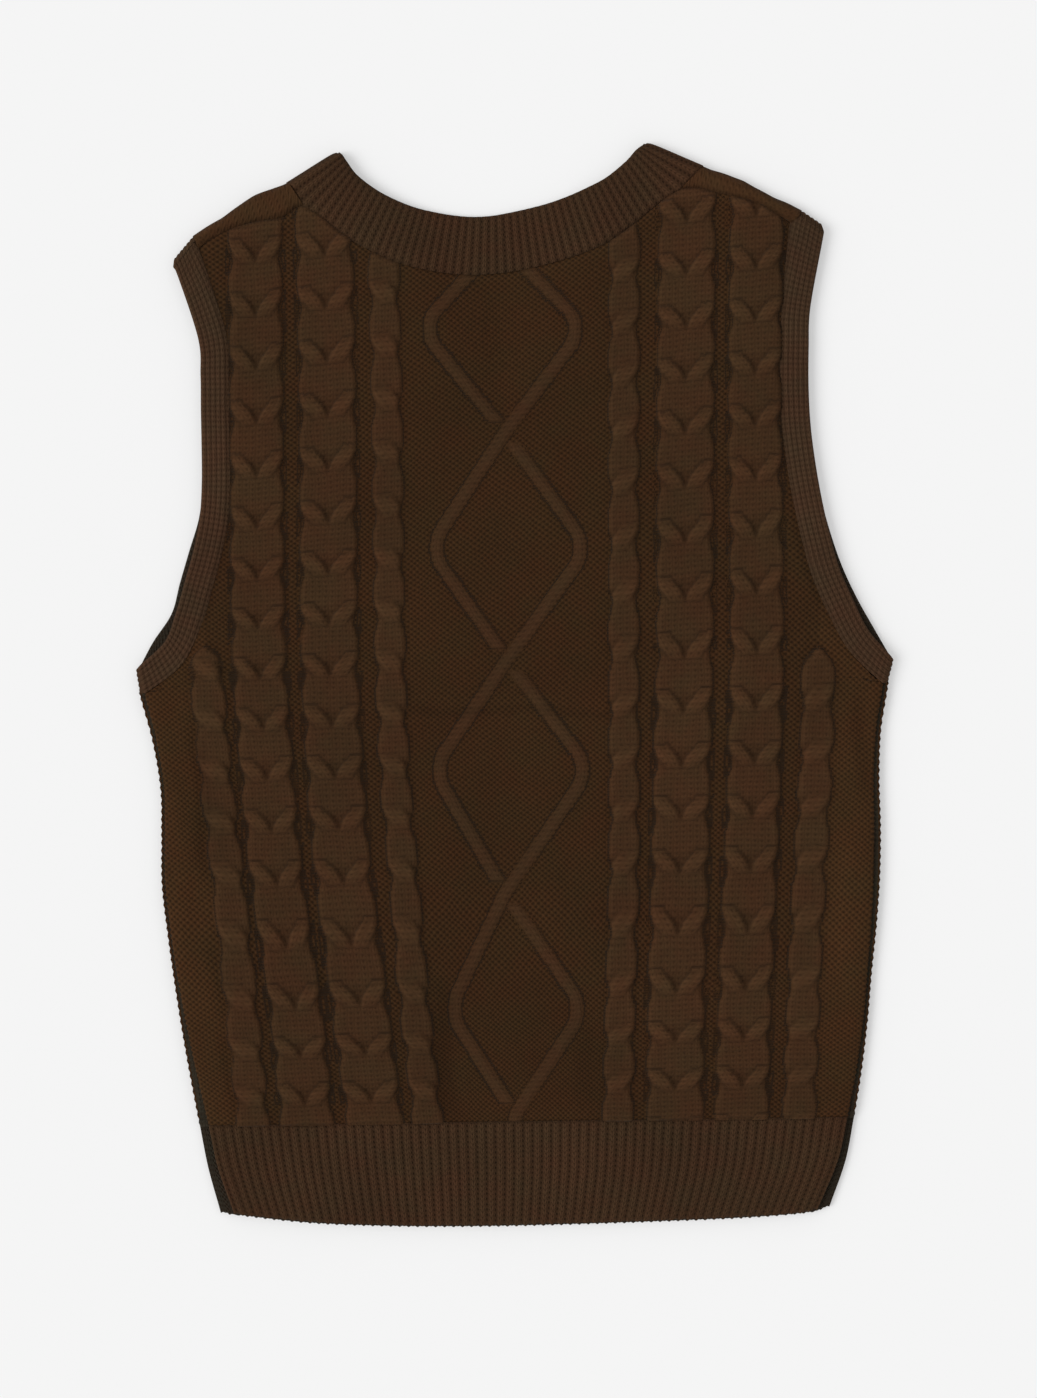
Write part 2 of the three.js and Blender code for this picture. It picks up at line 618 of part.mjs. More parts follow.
function welt(name, layer) {
  const heightAt = (x, up) => {
    return lerp(read(HEM_EDGE, "x", "y", x), read(HEM_SEAM, "x", "y", x) - HALF_GAP, up);
  };
  const station = (across, up, thick) => {
    const foot = heightAt(lerp(-WELT_TOP_REACH, WELT_TOP_REACH, across), up);
    const left = sideEdge(SIDES.left, layer, foot);
    const right = sideEdge(SIDES.right, layer, foot);
    const x = lerp(left, right, across);
    const y = heightAt(x, up);
    const near = Math.min(x - left, right - x);
    const flat =
      layer === "front"
        ? lower(x, y, BAND_WALL, TOE_RISE * rounding(near, TOE_ROUND))
        : upper(x, y, BAND_WALL - EDGE_THIN * rounding(near, EDGE_ROUND));
    return pinch(flat, thick);
  };
  const rows = WELT_ROWS.map(({ up, thick }) => WELT_SHARES.map((across) => station(across, up, thick)));
  if (layer === "front") rows.forEach((row) => row.reverse());
  return wallMesh(name, quads(rows));
}

// ---- the garment ----
const garment = new THREE.Group();
garment.name = "cable_knit_v_neck_vest";
garment.add(
  frontPanel(),
  backPanel(),
  welt("hem_front", "front"),
  welt("hem_back", "back"),
  neckband(),
  armband("armband_left", SIDES.left),
  armband("armband_right", SIDES.right),
);

export default garment;
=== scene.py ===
"""A sleeveless cable-knit pullover with a V neck, laid flat on its front, in dark brown yarn.

Every knitted piece is a wall of cloth with its own relief: ropes, horseshoe cables, crossed diamond
lines and ribs are shaped, and the single stitches are bump on a map that counts stitches across and
rows up. The tables are in millimetres, as the pattern is, and the meshes are made in metres.
"""

import math
from functools import partial
from types import SimpleNamespace

import bmesh
import bpy
import numpy as np
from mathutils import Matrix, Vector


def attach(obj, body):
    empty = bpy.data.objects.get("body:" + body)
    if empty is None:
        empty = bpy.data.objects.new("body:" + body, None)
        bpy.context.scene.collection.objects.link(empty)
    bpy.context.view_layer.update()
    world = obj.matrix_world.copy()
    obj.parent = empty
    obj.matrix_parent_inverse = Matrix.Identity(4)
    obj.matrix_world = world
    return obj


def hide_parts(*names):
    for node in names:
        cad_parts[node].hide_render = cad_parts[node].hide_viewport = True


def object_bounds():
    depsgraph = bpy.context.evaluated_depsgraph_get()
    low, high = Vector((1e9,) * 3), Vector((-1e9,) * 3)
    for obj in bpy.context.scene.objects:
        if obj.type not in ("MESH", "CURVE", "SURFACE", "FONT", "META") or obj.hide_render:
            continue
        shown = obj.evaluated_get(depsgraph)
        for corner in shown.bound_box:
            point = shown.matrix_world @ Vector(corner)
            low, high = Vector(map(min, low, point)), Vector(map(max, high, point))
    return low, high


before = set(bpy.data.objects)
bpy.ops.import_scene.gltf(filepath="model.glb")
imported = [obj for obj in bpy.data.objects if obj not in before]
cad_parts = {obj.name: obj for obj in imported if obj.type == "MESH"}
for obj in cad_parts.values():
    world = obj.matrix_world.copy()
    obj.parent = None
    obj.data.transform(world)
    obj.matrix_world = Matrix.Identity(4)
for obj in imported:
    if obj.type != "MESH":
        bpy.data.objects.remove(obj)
CAD_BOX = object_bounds()
MM = 0.001

# ---- walls and edges of the two layers ----
LAYER_GAP = 0.3
SEAM_LAP = 0.9  # how far two pieces that are sewn together run into each other
HALF_LAP = SEAM_LAP / 2
FRONT_WALL = 3.6
BACK_WALL = 2.4
BAND_WALL = 3.0
BAND_WIDTH = 16.0
EDGE_ROUND = 8.0  # the layers bend over this width at their sides
EDGE_DROP = 0.6
EDGE_THIN = 1.0
TOE_ROUND = 2.5  # the lower layer leaves the floor over this width
TOE_RISE = 0.9
SAG_WIDTH = 40.0  # the upper layer sinks over this width into the open V
NECK_DEPTH = 172.2
MIDDLE_X = -6.0
MIDDLE_LEAN = 2.0
FOLD_REACH = (FRONT_WALL + LAYER_GAP + BAND_WALL) / 2
FOLD_ANGLES = (45, 90, 135)
ARM_STEPS = 12  # sections of an armband from underarm to shoulder
V_STEP = 4  # the section level with the tip of the V

# ---- stitches ----
STITCH = 3.8
ROW = 3.0
ROWS_PER_TURN = 10
TURN = 30.5  # height of one crossing of the cables
CABLE_FLANK = 3.8
CABLE_PULL = 2.3  # how far a crossing draws each side of its cable in
CABLE_RISE = 1.7
LOBE = 0.94  # share of its rise that a cable keeps between its strands
VALLEY = {"horseshoe": 0.3, "rope": 0.2}  # the same at a crossing
CROSS_REACH = {"horseshoe": 0.3, "rope": 0.38}  # share of a turn, each way, over which strands cross
CROSS_LIFT = 0.8  # at a crossing the front strand rises and the back one sinks
CROSS_DIVE = 0.9
CROSS_SHOWN = (0.15, 0.8)
NOTCH_PHASE = 0.12  # the V between the strands opens this share of a turn below their crossing
NOTCH_AT = -0.12  # turns up from there
NOTCH_DEPTH = 0.8
NOTCH_HALF = (3.0, 3.2)  # its reach across and up
PULL_AT = -0.17  # where a cable is narrowest, counted the same way
STRAND_NARROW = 1.9  # strands are this much narrower than their rope
ARM_LIT = 0.75  # strands that cross on top get this much painted highlight
SIDE_LIT = 0.9  # the ground beyond the outer ropes gets this much painted light
LINE_HALF = 4.15
LINE_RISE = 0.6
LINE_UNDER = (4.0, 9.0)  # the lower line of a crossing comes up between these distances from it
WELT_RIBS = 68
NECK_RIB = 4.6
RIB_RISE = 0.5
BAND_LINE = 2.9
BAND_ROW = 3.1


def table(columns, *rows):
    """Rows of numbers under named columns."""
    return dict(zip(columns.split(), np.array(rows, float).T))


# Side seams from hem to underarm: outline is the lower layer's edge, inset how far inside it the
# upper layer stops.
SIDE_LEFT = table(
    "y outline inset",
    (-306, -168, 9), (-285, -174.8, 6.4), (-250, -182, 5.2), (-205, -190.4, 3.5), (-160, -197.4, 2.2),
    (-110, -203.4, 2), (-70, -203.2, 2), (-40, -206.5, 2.2), (-12, -214.4, 3), (12, -218.7, 3.45),
)
SIDE_RIGHT = table(
    "y outline inset",
    (-302, 179, 9), (-284, 187.4, 5.5), (-250, 194.8, 4), (-205, 201.5, 2.8), (-160, 205.6, 2.6),
    (-120, 209.4, 3.6), (-75, 210.3, 3.8), (-40, 209.4, 3), (-5, 213.2, 3), (18, 218.7, 3.45),
)
# Armhole edges from underarm to shoulder tip, in the upper and the lower layer.
ARMHOLE_LEFT = table(
    "y back front",
    (12, -215.2, -218.7), (20, -205.6, -212.4), (30, -198.6, -204.6), (42, -195, -197.4),
    (60, -189.8, -192.6), (80, -184.4, -186.8), (105, -180.4, -180.4), (160, -180.6, -180.2),
    (192, -181.4, -181), (214, -184.8, -184.4), (229, -190.6, -190.2), (243, -198.3, -198.3),
)
ARMHOLE_RIGHT = table(
    "y back front",
    (18, 215.2, 218.7), (30, 204.4, 208.6), (42, 198.4, 201.2), (56, 191.1, 194.2), (71, 185.4, 187.4),
    (105, 176.8, 176.8), (150, 169.9, 169.6), (193, 168.8, 168.4), (235, 171.6, 171.2),
    (263.8, 179, 179),
)
# Shoulder folds, from left to right.
SHOULDER_LEFT = table(
    "x y",
    (-198.3, 243.1), (-186.6, 257.4), (-172.2, 267.2), (-152.1, 281), (-131.4, 289.6), (-123.4, 297.5),
    (-101.6, 308.4),
)
SHOULDER_RIGHT = table(
    "x y",
    (74.6, 313.6), (94.7, 305.8), (107.9, 299.3), (129.2, 291.3), (152.1, 279.8), (163.6, 274.1),
    (179, 263.8),
)
TOP_SEAM = table(
    "x y",
    (-182, 251.7), (-169.3, 260.3), (-147.5, 267.2), (-134.9, 268.9), (-121.7, 276), (-97.6, 258.6),
    (-66, 243.1), (-25, 236.8), (17.2, 242.6), (54.5, 256), (94.7, 285.2), (117.7, 283.3), (140.6, 277),
    (158.5, 266.5),
)
NECK_SEAM = (-121.7, 94.7)
NECK_EDGE = table(
    "x y",
    (-101.6, 308.4), (-89, 291.8), (-66, 278.1), (-43, 271.8), (-20, 269.8), (3, 273.5), (25.8, 279.8),
    (48.8, 290.1), (60.3, 298), (74.6, 313.6),
)
HEM_SEAM = table("x y", (-190, -253.5), (0, -250.8), (195, -248.2))
HEM_EDGE = table(
    "x y",
    (-175, -302), (-158, -305), (-120, -309.2), (-43, -311.4), (60, -309.2), (152, -305.2), (170, -303),
    (185, -298),
)
# Middles of the cables at each height, outer rope, two horseshoes and inner rope on each side.
CABLES = table(
    "y dl al bl cl cr br ar dr",
    (-255, -150, -119, -80, -49.5, 59, 92, 130, 163),
    (-185, -157, -126, -89, -57.5, 60.5, 92.5, 132, 165.5),
    (-110, -165, -137, -98.5, -64, 62.5, 94.7, 135, 169),
    (-50, -172, -142.5, -103.3, -69, 62.6, 95.8, 137.5, 172.5),
    (20, -178, -147, -106.5, -71.8, 62.6, 97.6, 139, 174.5),
    (160, -184, -148.5, -107.5, -73.5, 62.6, 98, 138, 178),
    (280, -186, -149.5, -110, -76.5, 63, 99, 139, 180),
)
CABLE_HALF = {"d": 11.3, "a": 17.0, "b": 18.0, "c": 10.5}
CABLE_NAMES = list(CABLES)[1:]
COUNTED_AT = 20.0  # the height at which the columns of the ground are counted
OUTER_CABLE_TOP = 22.0
OUTER_CABLE_TIP = 16.0
# Height of every so many turns of the cables on the left and on the right.
TURNS = table(
    "left right turn",
    (-265, -257, 16), (-237.3, -229.3, 15), (-181.7, -173.6, 13), (-111, -104.8, 11), (-21, -12.9, 8),
    (96.7, 116.8, 4), (219.6, 238.5, 0), (281, 299.5, -2),
)
TURN_SIDES = ("left", "right")
TURNS_X = (-105.0, 97.0)  # where the two columns above are counted
# The two crossing lines of the diamonds: where they meet, and how far apart they run between.
DIAMONDS = table(
    "y left right",
    (-246.5, 0, 0), (-186, -34.4, 35.6), (-119.1, -5.7, -5.7), (-48.5, -43, 38.5), (14.6, -4.6, -4.6),
    (79, -44.8, 37.3), (145.5, -5.7, -5.7), (205, -48.8, 34.4), (256, -9, -9),
)
DIAMOND_FLAT = 6.5
# Soft troughs (negative) and swells of the laid cloth, each along a line.
CREASES = table(
    "x0 y0 x1 y1 width depth",
    (-183, -25, -176, -105, 5, -0.9), (-171, -150, -168, -185, 5, -0.7),
    (-165, -205, -161, -242, 5, -0.8), (199, -10, 200, -60, 5, -0.9), (-43, -175, -36, -246, 6, -1.0),
    (-60, -14, 55, -15, 3, -0.35), (-196, -60, -192, -150, 6, 0.5), (190, -90, 189, -170, 8, 0.5),
    (40, -200, 44, -240, 7, -0.5),
)
CREASE_ENDS = (-15.0, 10.0)  # they fade in between these distances from their ends


# ---- curves ----
def smoothstep(x, low, high):
    t = np.clip((x - low) / (high - low), 0, 1)
    return t * t * (3 - 2 * t)


def lerp(a, b, t):
    return a + (b - a) * t


def read(rows, column, at):
    """A column of a table at values of its first column, on a cubic curve through the rows."""
    keys, values = rows[next(iter(rows))], rows[column]
    number = np.arange(len(keys))
    before, after = np.maximum(number - 1, 0), np.minimum(number + 1, len(keys) - 1)
    slopes = (values[after] - values[before]) / (keys[after] - keys[before])
    at = np.clip(np.asarray(at, float), keys[0], keys[-1])
    i = np.clip(np.searchsorted(keys, at, side="right") - 1, 0, len(keys) - 2)
    span = keys[i + 1] - keys[i]
    t = (at - keys[i]) / span
    return (
        (2 * t**3 - 3 * t**2 + 1) * values[i]
        + (t**3 - 2 * t**2 + t) * span * slopes[i]
        + (3 * t**2 - 2 * t**3) * values[i + 1]
        + (t**3 - t**2) * span * slopes[i + 1]
    )


def whole_side(sign, seam, armhole, shoulder, corner):
    """One side of the garment: its edges, and its shoulder's tip, neck point and directions."""
    ends = (0, -1) if sign < 0 else (-1, 0)
    tip, neck = (np.array((shoulder["x"][end], shoulder["y"][end])) for end in ends)
    to_neck = (neck - tip) / np.linalg.norm(neck - tip)
    return SimpleNamespace(
        sign=sign, seam=seam, armhole=armhole, shoulder=shoulder, corner=np.array(corner),
        tip=tip, neck=neck, to_neck=to_neck, out=np.array((sign * to_neck[1], abs(to_neck[0]))),
        low=armhole["y"][0], high=armhole["y"][-1], end=ends[0],
    )


LEFT = whole_side(-1, SIDE_LEFT, ARMHOLE_LEFT, SHOULDER_LEFT, (-131.4, 289.6))
RIGHT = whole_side(1, SIDE_RIGHT, ARMHOLE_RIGHT, SHOULDER_RIGHT, (107.9, 299.3))
V_TIP = np.array((MIDDLE_X, LEFT.neck[1] - NECK_DEPTH))


def side_edge(side, layer, y):
    """Where a layer's side edge runs."""
    outline = read(side.seam, "outline", y)
    if layer == "front":
        return outline
    return outline - side.sign * read(side.seam, "inset", y)


def rounding(distance, width):
    """0 inside and 1 at an edge, round like bent cloth."""
    inside = np.clip(1 - distance / width, 0, 1)
    return 1 - np.sqrt(1 - inside**2)


def side_distance(x, y):
    """Distance in from the side outline, or far where the armholes take its place."""
    left = np.where(y > SIDE_LEFT["y"][-1], EDGE_ROUND, x - side_edge(LEFT, "front", y))
    right = np.where(y > SIDE_RIGHT["y"][-1], EDGE_ROUND, side_edge(RIGHT, "front", y) - x)
    return np.where(x < 0, left, right)


def inside_v(x, y):
    """How far a point lies inside the open V of the lower layer."""
    reach = []
    for side in (LEFT, RIGHT):
        edge = side.neck - V_TIP
        cross = edge[0] * (y - V_TIP[1]) - edge[1] * (x - V_TIP[0])
        reach.append(side.sign * cross / np.linalg.norm(edge))
    return np.minimum(*reach)


def front_top(x, y):
    return FRONT_WALL - EDGE_DROP * rounding(side_distance(x, y), EDGE_ROUND)


def back_rest(x, y):
    sag = FRONT_WALL * smoothstep(inside_v(x, y), 0, SAG_WIDTH)
    return front_top(x, y) + LAYER_GAP - sag


# ---- stations: a point on the right side of the knit, then the one on its wrong side ----
def upper(x, y, wall):
    rest = back_rest(x, y)
    return np.array((x, y, rest + wall, x, y, rest))


def lower(x, y, wall, toe=0.0):
    return np.array((x, y, toe, x, y, wall - FRONT_WALL + front_top(x, y)))


def folded(edge, out, angle, lower_wall):
    """A station on a fold: 0 is the upper layer, 180 the lower one and 90 the outline itself."""
    turn = math.radians(angle)
    centre = edge - out * FOLD_REACH
    rest_top = FRONT_WALL + LAYER_GAP
    inner = (rest_top - lower_wall) / 2

    def place(radius, height):
        flat = centre + out * radius * math.sin(turn)
        return (flat[0], flat[1], height + radius * math.cos(turn))

    return np.array(place(FOLD_REACH, FOLD_REACH) + place(inner, rest_top - inner))


def pinch(station, share):
    """A station at a band's free edge, thinned to its middle."""
    middle = (station[:3] + station[3:]) / 2
    return np.concatenate((lerp(middle, station[:3], share), lerp(middle, station[3:], share)))


# ---- armbands ----
UNDERARM_CROWDING = 1.15
BELOW_TIP = 8.0
FOLD_TURN = 0.5
CORNER_EASE = 2.0


def arm_section(side, layer, i):
    """Section i of an armband in one layer: its free edge and its seam, from underarm to shoulder."""

    def edge_at(y):
        return np.array((read(side.armhole, layer, y), y))

    if i == 0:
        low = side.low - BAND_WIDTH
        return edge_at(side.low), np.array((side_edge(side, layer, low), low))
    if i == ARM_STEPS:
        seam_x = side.tip[0] + side.to_neck[0] * BAND_WIDTH
        return side.tip, np.array((seam_x, read(side.shoulder, "y", seam_x)))
    if i == ARM_STEPS - 1:
        return edge_at(side.high - BELOW_TIP), np.array((TOP_SEAM["x"][side.end], TOP_SEAM["y"][side.end]))
    y = lerp(side.low, side.high, (i / ARM_STEPS) ** UNDERARM_CROWDING)
    tangent = edge_at(y + 1) - edge_at(y - 1)
    tangent /= np.linalg.norm(tangent)
    inward = np.array((-side.sign * tangent[1], side.sign * tangent[0]))
    if i == 1:
        inward += np.array((0, -FOLD_TURN))
    if i == ARM_STEPS - 2:
        inward += side.to_neck * FOLD_TURN
    return edge_at(y), edge_at(y) + inward / np.linalg.norm(inward) * BAND_WIDTH


def eased(edge, seam, angle):
    """A band's free edge, drawn in a little where it turns over a fold."""
    to_seam = (seam - edge) / np.linalg.norm(seam - edge)
    return edge + to_seam * CORNER_EASE * math.sin(math.radians(angle))


# Places across a band, and how thick it is there.
BAND_PROFILE = ((0, 0.45), (0.07, 0.85), (0.25, 1), (0.6, 1), (1, 1))


def band_row(edge, seam, station):
    """Stations across a band from its free edge to its seam."""
    width = np.linalg.norm(seam - edge)
    usable = (width + HALF_LAP) / width
    return [pinch(station(lerp(edge, seam, share * usable)), thick) for share, thick in BAND_PROFILE]


def flat_row(layer, edge, seam):
    lay = upper if layer == "back" else lower
    return band_row(edge, seam, lambda at: lay(at[0], at[1], BAND_WALL))


def armband_net(side):
    side_out = np.array((side.sign, 0.0))

    def level(layer, i):
        edge, seam = arm_section(side, layer, i)
        if i == ARM_STEPS:
            edge, seam = edge - side.out * FOLD_REACH, seam - side.out * FOLD_REACH
        if i == 0:
            edge, seam = (p - side_out * FOLD_REACH for p in arm_section(side, "front", 0))
        return flat_row(layer, edge, seam)

    def turned(i, out, angle):
        edge, seam = arm_section(side, "front", i)
        edge = eased(edge, seam, angle)
        return band_row(edge, seam, lambda at: folded(at, out, angle, BAND_WALL))

    rows = [level("back", i) for i in range(ARM_STEPS + 1)]
    rows += [turned(ARM_STEPS, side.out, angle) for angle in FOLD_ANGLES]
    rows += [level("front", i) for i in range(ARM_STEPS, -1, -1)]
    rows += [turned(0, side_out, angle) for angle in FOLD_ANGLES[::-1]]
    return np.array(rows)


# ---- neckband ----
BACK_NECK_STEPS = 16
NECK_TURN = 0.03
V_STEPS = ARM_STEPS - V_STEP
V_SEAM_Y = [arm_section(side, "front", V_STEP)[1][1] for side in (LEFT, RIGHT)]
V_SEAM_TIP = np.array((MIDDLE_X + MIDDLE_LEAN, sum(V_SEAM_Y) / 2))


def v_section(side, step):
    """The V's free edge and its seam, from the middle of the front up to the fold."""
    share = step / V_STEPS
    return lerp(V_TIP, side.neck, share), lerp(V_SEAM_TIP, side.corner, share)


def neck_row(i):
    """The free edge and the seam across the back of the neck; the first and last close on the folds."""
    share = i / BACK_NECK_STEPS
    edge_share = np.clip(share, NECK_TURN, 1 - NECK_TURN)
    edge_x = lerp(NECK_EDGE["x"][0], NECK_EDGE["x"][-1], edge_share)
    seam_x = lerp(*NECK_SEAM, share)
    edge = np.array((edge_x, read(NECK_EDGE, "y", edge_x)))
    return edge, np.array((seam_x, read(TOP_SEAM, "y", seam_x)))


def neckband_net():
    def turned(side, angle):
        edge = eased(side.neck, side.corner, angle)
        return band_row(edge, side.corner, lambda at: folded(at, side.out, angle, BAND_WALL))

    rows = [flat_row("back", *neck_row(i)) for i in range(BACK_NECK_STEPS + 1)]
    rows += [turned(RIGHT, angle) for angle in (0, *FOLD_ANGLES, 180)]
    rows += [flat_row("front", *v_section(RIGHT, step)) for step in range(V_STEPS - 1, 0, -1)]
    rows.append(flat_row("front", V_TIP, V_SEAM_TIP))
    rows += [flat_row("front", *v_section(LEFT, step)) for step in range(1, V_STEPS)]
    rows += [turned(LEFT, angle) for angle in (180, *FOLD_ANGLES[::-1], 0)]
    return np.array(rows)


# ---- panels ----
WELT_TOP_REACH = 190.0
SIDE_ROWS = 9
ARM_ROW = SIDE_ROWS + 1
BOW = 7.0
BOW_WIDTH = 40.0


def panel_ends(layer, row):
    """Ends of a panel's row: side seams first, then the armband seams."""
    ends = []
    for side in (LEFT, RIGHT):
        if row >= ARM_ROW:
            seam = arm_section(side, layer, row - ARM_ROW)[1]
            inset, lap = (FOLD_REACH, SEAM_LAP) if row == ARM_ROW else (-HALF_LAP, 0)
            ends.append(np.array((seam[0] - side.sign * inset, seam[1] + lap)))
            continue
        low = read(HEM_SEAM, "y", side.sign * WELT_TOP_REACH) - HALF_LAP
        high = arm_section(side, layer, 0)[1][1] + LAYER_GAP
        y = lerp(low, high, row / SIDE_ROWS)
        ends.append(np.array((side_edge(side, layer, y), y)))
    return ends


def row_height(row, start, end, x):
    """Height of a row between its ends; the first row at the armbands bows up away from them."""
    straight = lerp(start[1], end[1], (x - start[0]) / (end[0] - start[0]))
    if row != ARM_ROW:
        return straight
    return straight + BOW * smoothstep(min(abs(x - start[0]), abs(x - end[0])), 0, BOW_WIDTH)


EDGE_LINES = (0, 1.2, 3.5, EDGE_ROUND)
SPLIT_AWAY = 12.0  # the back's knitting is shaped in three widths that meet this far from the inner ropes
PART_LINES = 12


def back_part_lines(part, y, left, right):
    """Places across one of the three widths of the back, at one row."""
    left_split, right_split = read(CABLES, "cl", y) + SPLIT_AWAY, read(CABLES, "cr", y) - SPLIT_AWAY
    if part == "left":
        inner = np.linspace(left + EDGE_ROUND, left_split, PART_LINES)[1:]
        return [*(left + d for d in EDGE_LINES), *inner]
    if part == "right":
        inner = np.linspace(right_split, right - EDGE_ROUND, PART_LINES)[:-1]
        return [*inner, *(right - d for d in EDGE_LINES[::-1])]
    return np.linspace(left_split, right_split, PART_LINES)


def back_net(part):
    rows = []
    last_row = ARM_ROW + ARM_STEPS - 1
    top_left, top_right = panel_ends("back", last_row)
    for row in range(last_row + 1):
        left, right = panel_ends("back", row)
        line = []
        for x in back_part_lines(part, (left[1] + right[1]) / 2, left[0], right[0]):
            top_x = lerp(top_left[0], top_right[0], (x - left[0]) / (right[0] - left[0]))
            seam_y = read(TOP_SEAM, "y", top_x) + SEAM_LAP
            shape = seam_y - row_height(last_row, top_left, top_right, top_x)
            y = row_height(row, left, right, x)
            if row == 0:
                y = read(HEM_SEAM, "y", x) - HALF_LAP
            near = min(x - left[0], right[0] - x)
            if near > 0:
                y += shape * smoothstep(row, ARM_ROW + 2, last_row)
            thin = EDGE_THIN * rounding(near, EDGE_ROUND) if row <= SIDE_ROWS else 0
            line.append(upper(x, y, BACK_WALL - thin))
        rows.append(line)
    return np.array(rows)


FRONT_SHARES = np.array((0, 0.006, 0.02, 0.12, 0.27, 0.42, 0.57, 0.72, 0.84, 0.93, 1))
FLAP_ROWS = len(FOLD_ANGLES) + 3  # rows of the front past its flat part: the fold and the shoulder seam


def front_net(side):
    """One side of the front: hem to fold in the lower layer, then over the fold to the shoulder seam."""
    sign = side.sign
    split_row = ARM_ROW + V_STEP
    last_row = ARM_ROW + ARM_STEPS
    fold_start = arm_section(side, "front", ARM_STEPS)[1][0] + sign * HALF_LAP
    fold_x = lerp(fold_start, side.corner[0] - sign * HALF_LAP, FRONT_SHARES)
    fold_points = np.stack((fold_x, read(side.shoulder, "y", fold_x)), axis=1)
    rows = []
    for row in range(last_row):
        ends = panel_ends("front", row)
        start = ends[side.end]
        split = row > split_row
        middle = (v_section(side, row - split_row)[1] if split else V_SEAM_TIP).copy()
        if split:
            middle[0] -= sign * HALF_LAP
        elif row == split_row:
            middle[1] += HALF_LAP
        else:
            middle[1] = row_height(row, *ends, middle[0])
        line = []
        for i, share in enumerate(FRONT_SHARES):
            x = lerp(start[0], middle[0], share)
            if row == 0:
                y = read(HEM_SEAM, "y", x) - HALF_LAP
            elif row < split_row:
                y = row_height(row, *ends, x)
            else:
                shape = fold_points[i][1] - lerp(fold_points[0][1], fold_points[-1][1], share)
                bent = shape * smoothstep(row, split_row, last_row)
                y = lerp(start[1], middle[1], share) + bent
            near = abs(x - side_edge(side, "front", y))
            toe = TOE_RISE * rounding(near, TOE_ROUND) if row <= SIDE_ROWS else 0
            line.append(lower(x, y, FRONT_WALL, toe))
        rows.append(line)
    for angle in (180, *FOLD_ANGLES[::-1], 0):
        rows.append([folded(at, side.out, angle, FRONT_WALL) for at in fold_points])
    seam_start = TOP_SEAM["x"][side.end] + sign * HALF_LAP
    seam_end = NECK_SEAM[side.end] - sign * HALF_LAP
    seam_x = lerp(seam_start, seam_end, FRONT_SHARES)
    rows.append([upper(x, read(TOP_SEAM, "y", x) - HALF_LAP, BAND_WALL) for x in seam_x])
    return np.array(rows)


WELT_SHARES = (0, 0.004, 0.012, 0.03, 0.15, 0.3, 0.45, 0.6, 0.75, 0.88, 0.97, 0.988, 0.996, 1)
HEM_LIFT = 1.1  # the upper hem stops this far above the lower one
WELT_PROFILE = ((0, 0.45), (0.03, 0.9), (0.5, 1), (1, 1))


def welt_net(layer):
    lift = HEM_LIFT if layer == "back" else 0.0

    def height_at(x, up):
        low, high = read(HEM_EDGE, "y", x) + lift, read(HEM_SEAM, "y", x) + HALF_LAP
        return lerp(low, high, up)

    rows = []
    for up, thick in WELT_PROFILE:
        line = []
        for share in WELT_SHARES:
            foot = height_at(lerp(-WELT_TOP_REACH, WELT_TOP_REACH, share), up)
            left, right = side_edge(LEFT, layer, foot), side_edge(RIGHT, layer, foot)
            x = lerp(left, right, share)
            near = min(x - left, right - x)
            if layer == "front":
                flat = lower(x, height_at(x, up), BAND_WALL, TOE_RISE * rounding(near, TOE_ROUND))
            else:
                thin = EDGE_THIN * rounding(near, EDGE_ROUND)
                flat = upper(x, height_at(x, up), BAND_WALL - thin)
            line.append(pinch(flat, thick))
        rows.append(line)
    return np.array(rows)


# ---- smooth surfaces through the stations ----
def weights(at, count, closed):
    """How much of each station a place between them takes, on a smooth curve through them all."""
    i = np.floor(at).astype(int)
    if not closed:
        i = np.clip(i, 0, count - 2)
    t = at - i
    basis = (
        -0.5 * t + t**2 - 0.5 * t**3,
        1 - 2.5 * t**2 + 1.5 * t**3,
        0.5 * t + 2 * t**2 - 1.5 * t**3,
        -0.5 * t**2 + 0.5 * t**3,
    )
    made = np.zeros((len(at), count + 2))
    for offset, share in enumerate(basis):
        column = (i + offset - 1) % count + 1 if closed else i + offset
        made[np.arange(len(at)), column] += share
    if not closed:
        # past an end the curve runs straight on, from the last two stations
        made[:, [1, 2]] += made[:, :1] * (2, -1)
        made[:, [count, count - 1]] += made[:, -1:] * (2, -1)
    return made[:, 1:-1]


def middle_of(points):
    return (points[..., :3] + points[..., 3:]) / 2


def step_lengths(points, axis):
    return np.linalg.norm(np.diff(middle_of(points), axis=axis), axis=2)


def even_places(net, axis, count, closed=False):
    """Places along one way of a net, evenly spaced by length."""
    if closed:
        net = np.concatenate((net, np.take(net, [0], axis)), axis)
    run = np.concatenate(([0], np.cumsum(step_lengths(net, axis).mean(axis=1 - axis))))
    return np.interp(np.linspace(0, run[-1], count + 1), run, np.arange(len(run)))


def spread(net, rows_at, columns_at, closed=False):
    """Points between the stations of a net, at places along and across it."""
    across = weights(columns_at, net.shape[1], False)
    along = weights(rows_at, net.shape[0], closed)
    return np.einsum("nr,rck,mc->nmk", along, net, across)


def run_along(points, axis):
    """Length from the first row or column to each point."""
    run = np.cumsum(step_lengths(points, axis), axis=axis)
    return np.concatenate((np.zeros_like(np.take(run, [0], axis)), run), axis)


def blur(values, reach):
    """Mean over a square of neighbours."""
    padded = np.pad(values, reach, mode="edge")
    for axis in (0, 1):
        padded = np.lib.stride_tricks.sliding_window_view(padded, 2 * reach + 1, axis).mean(axis=-1)
    return padded


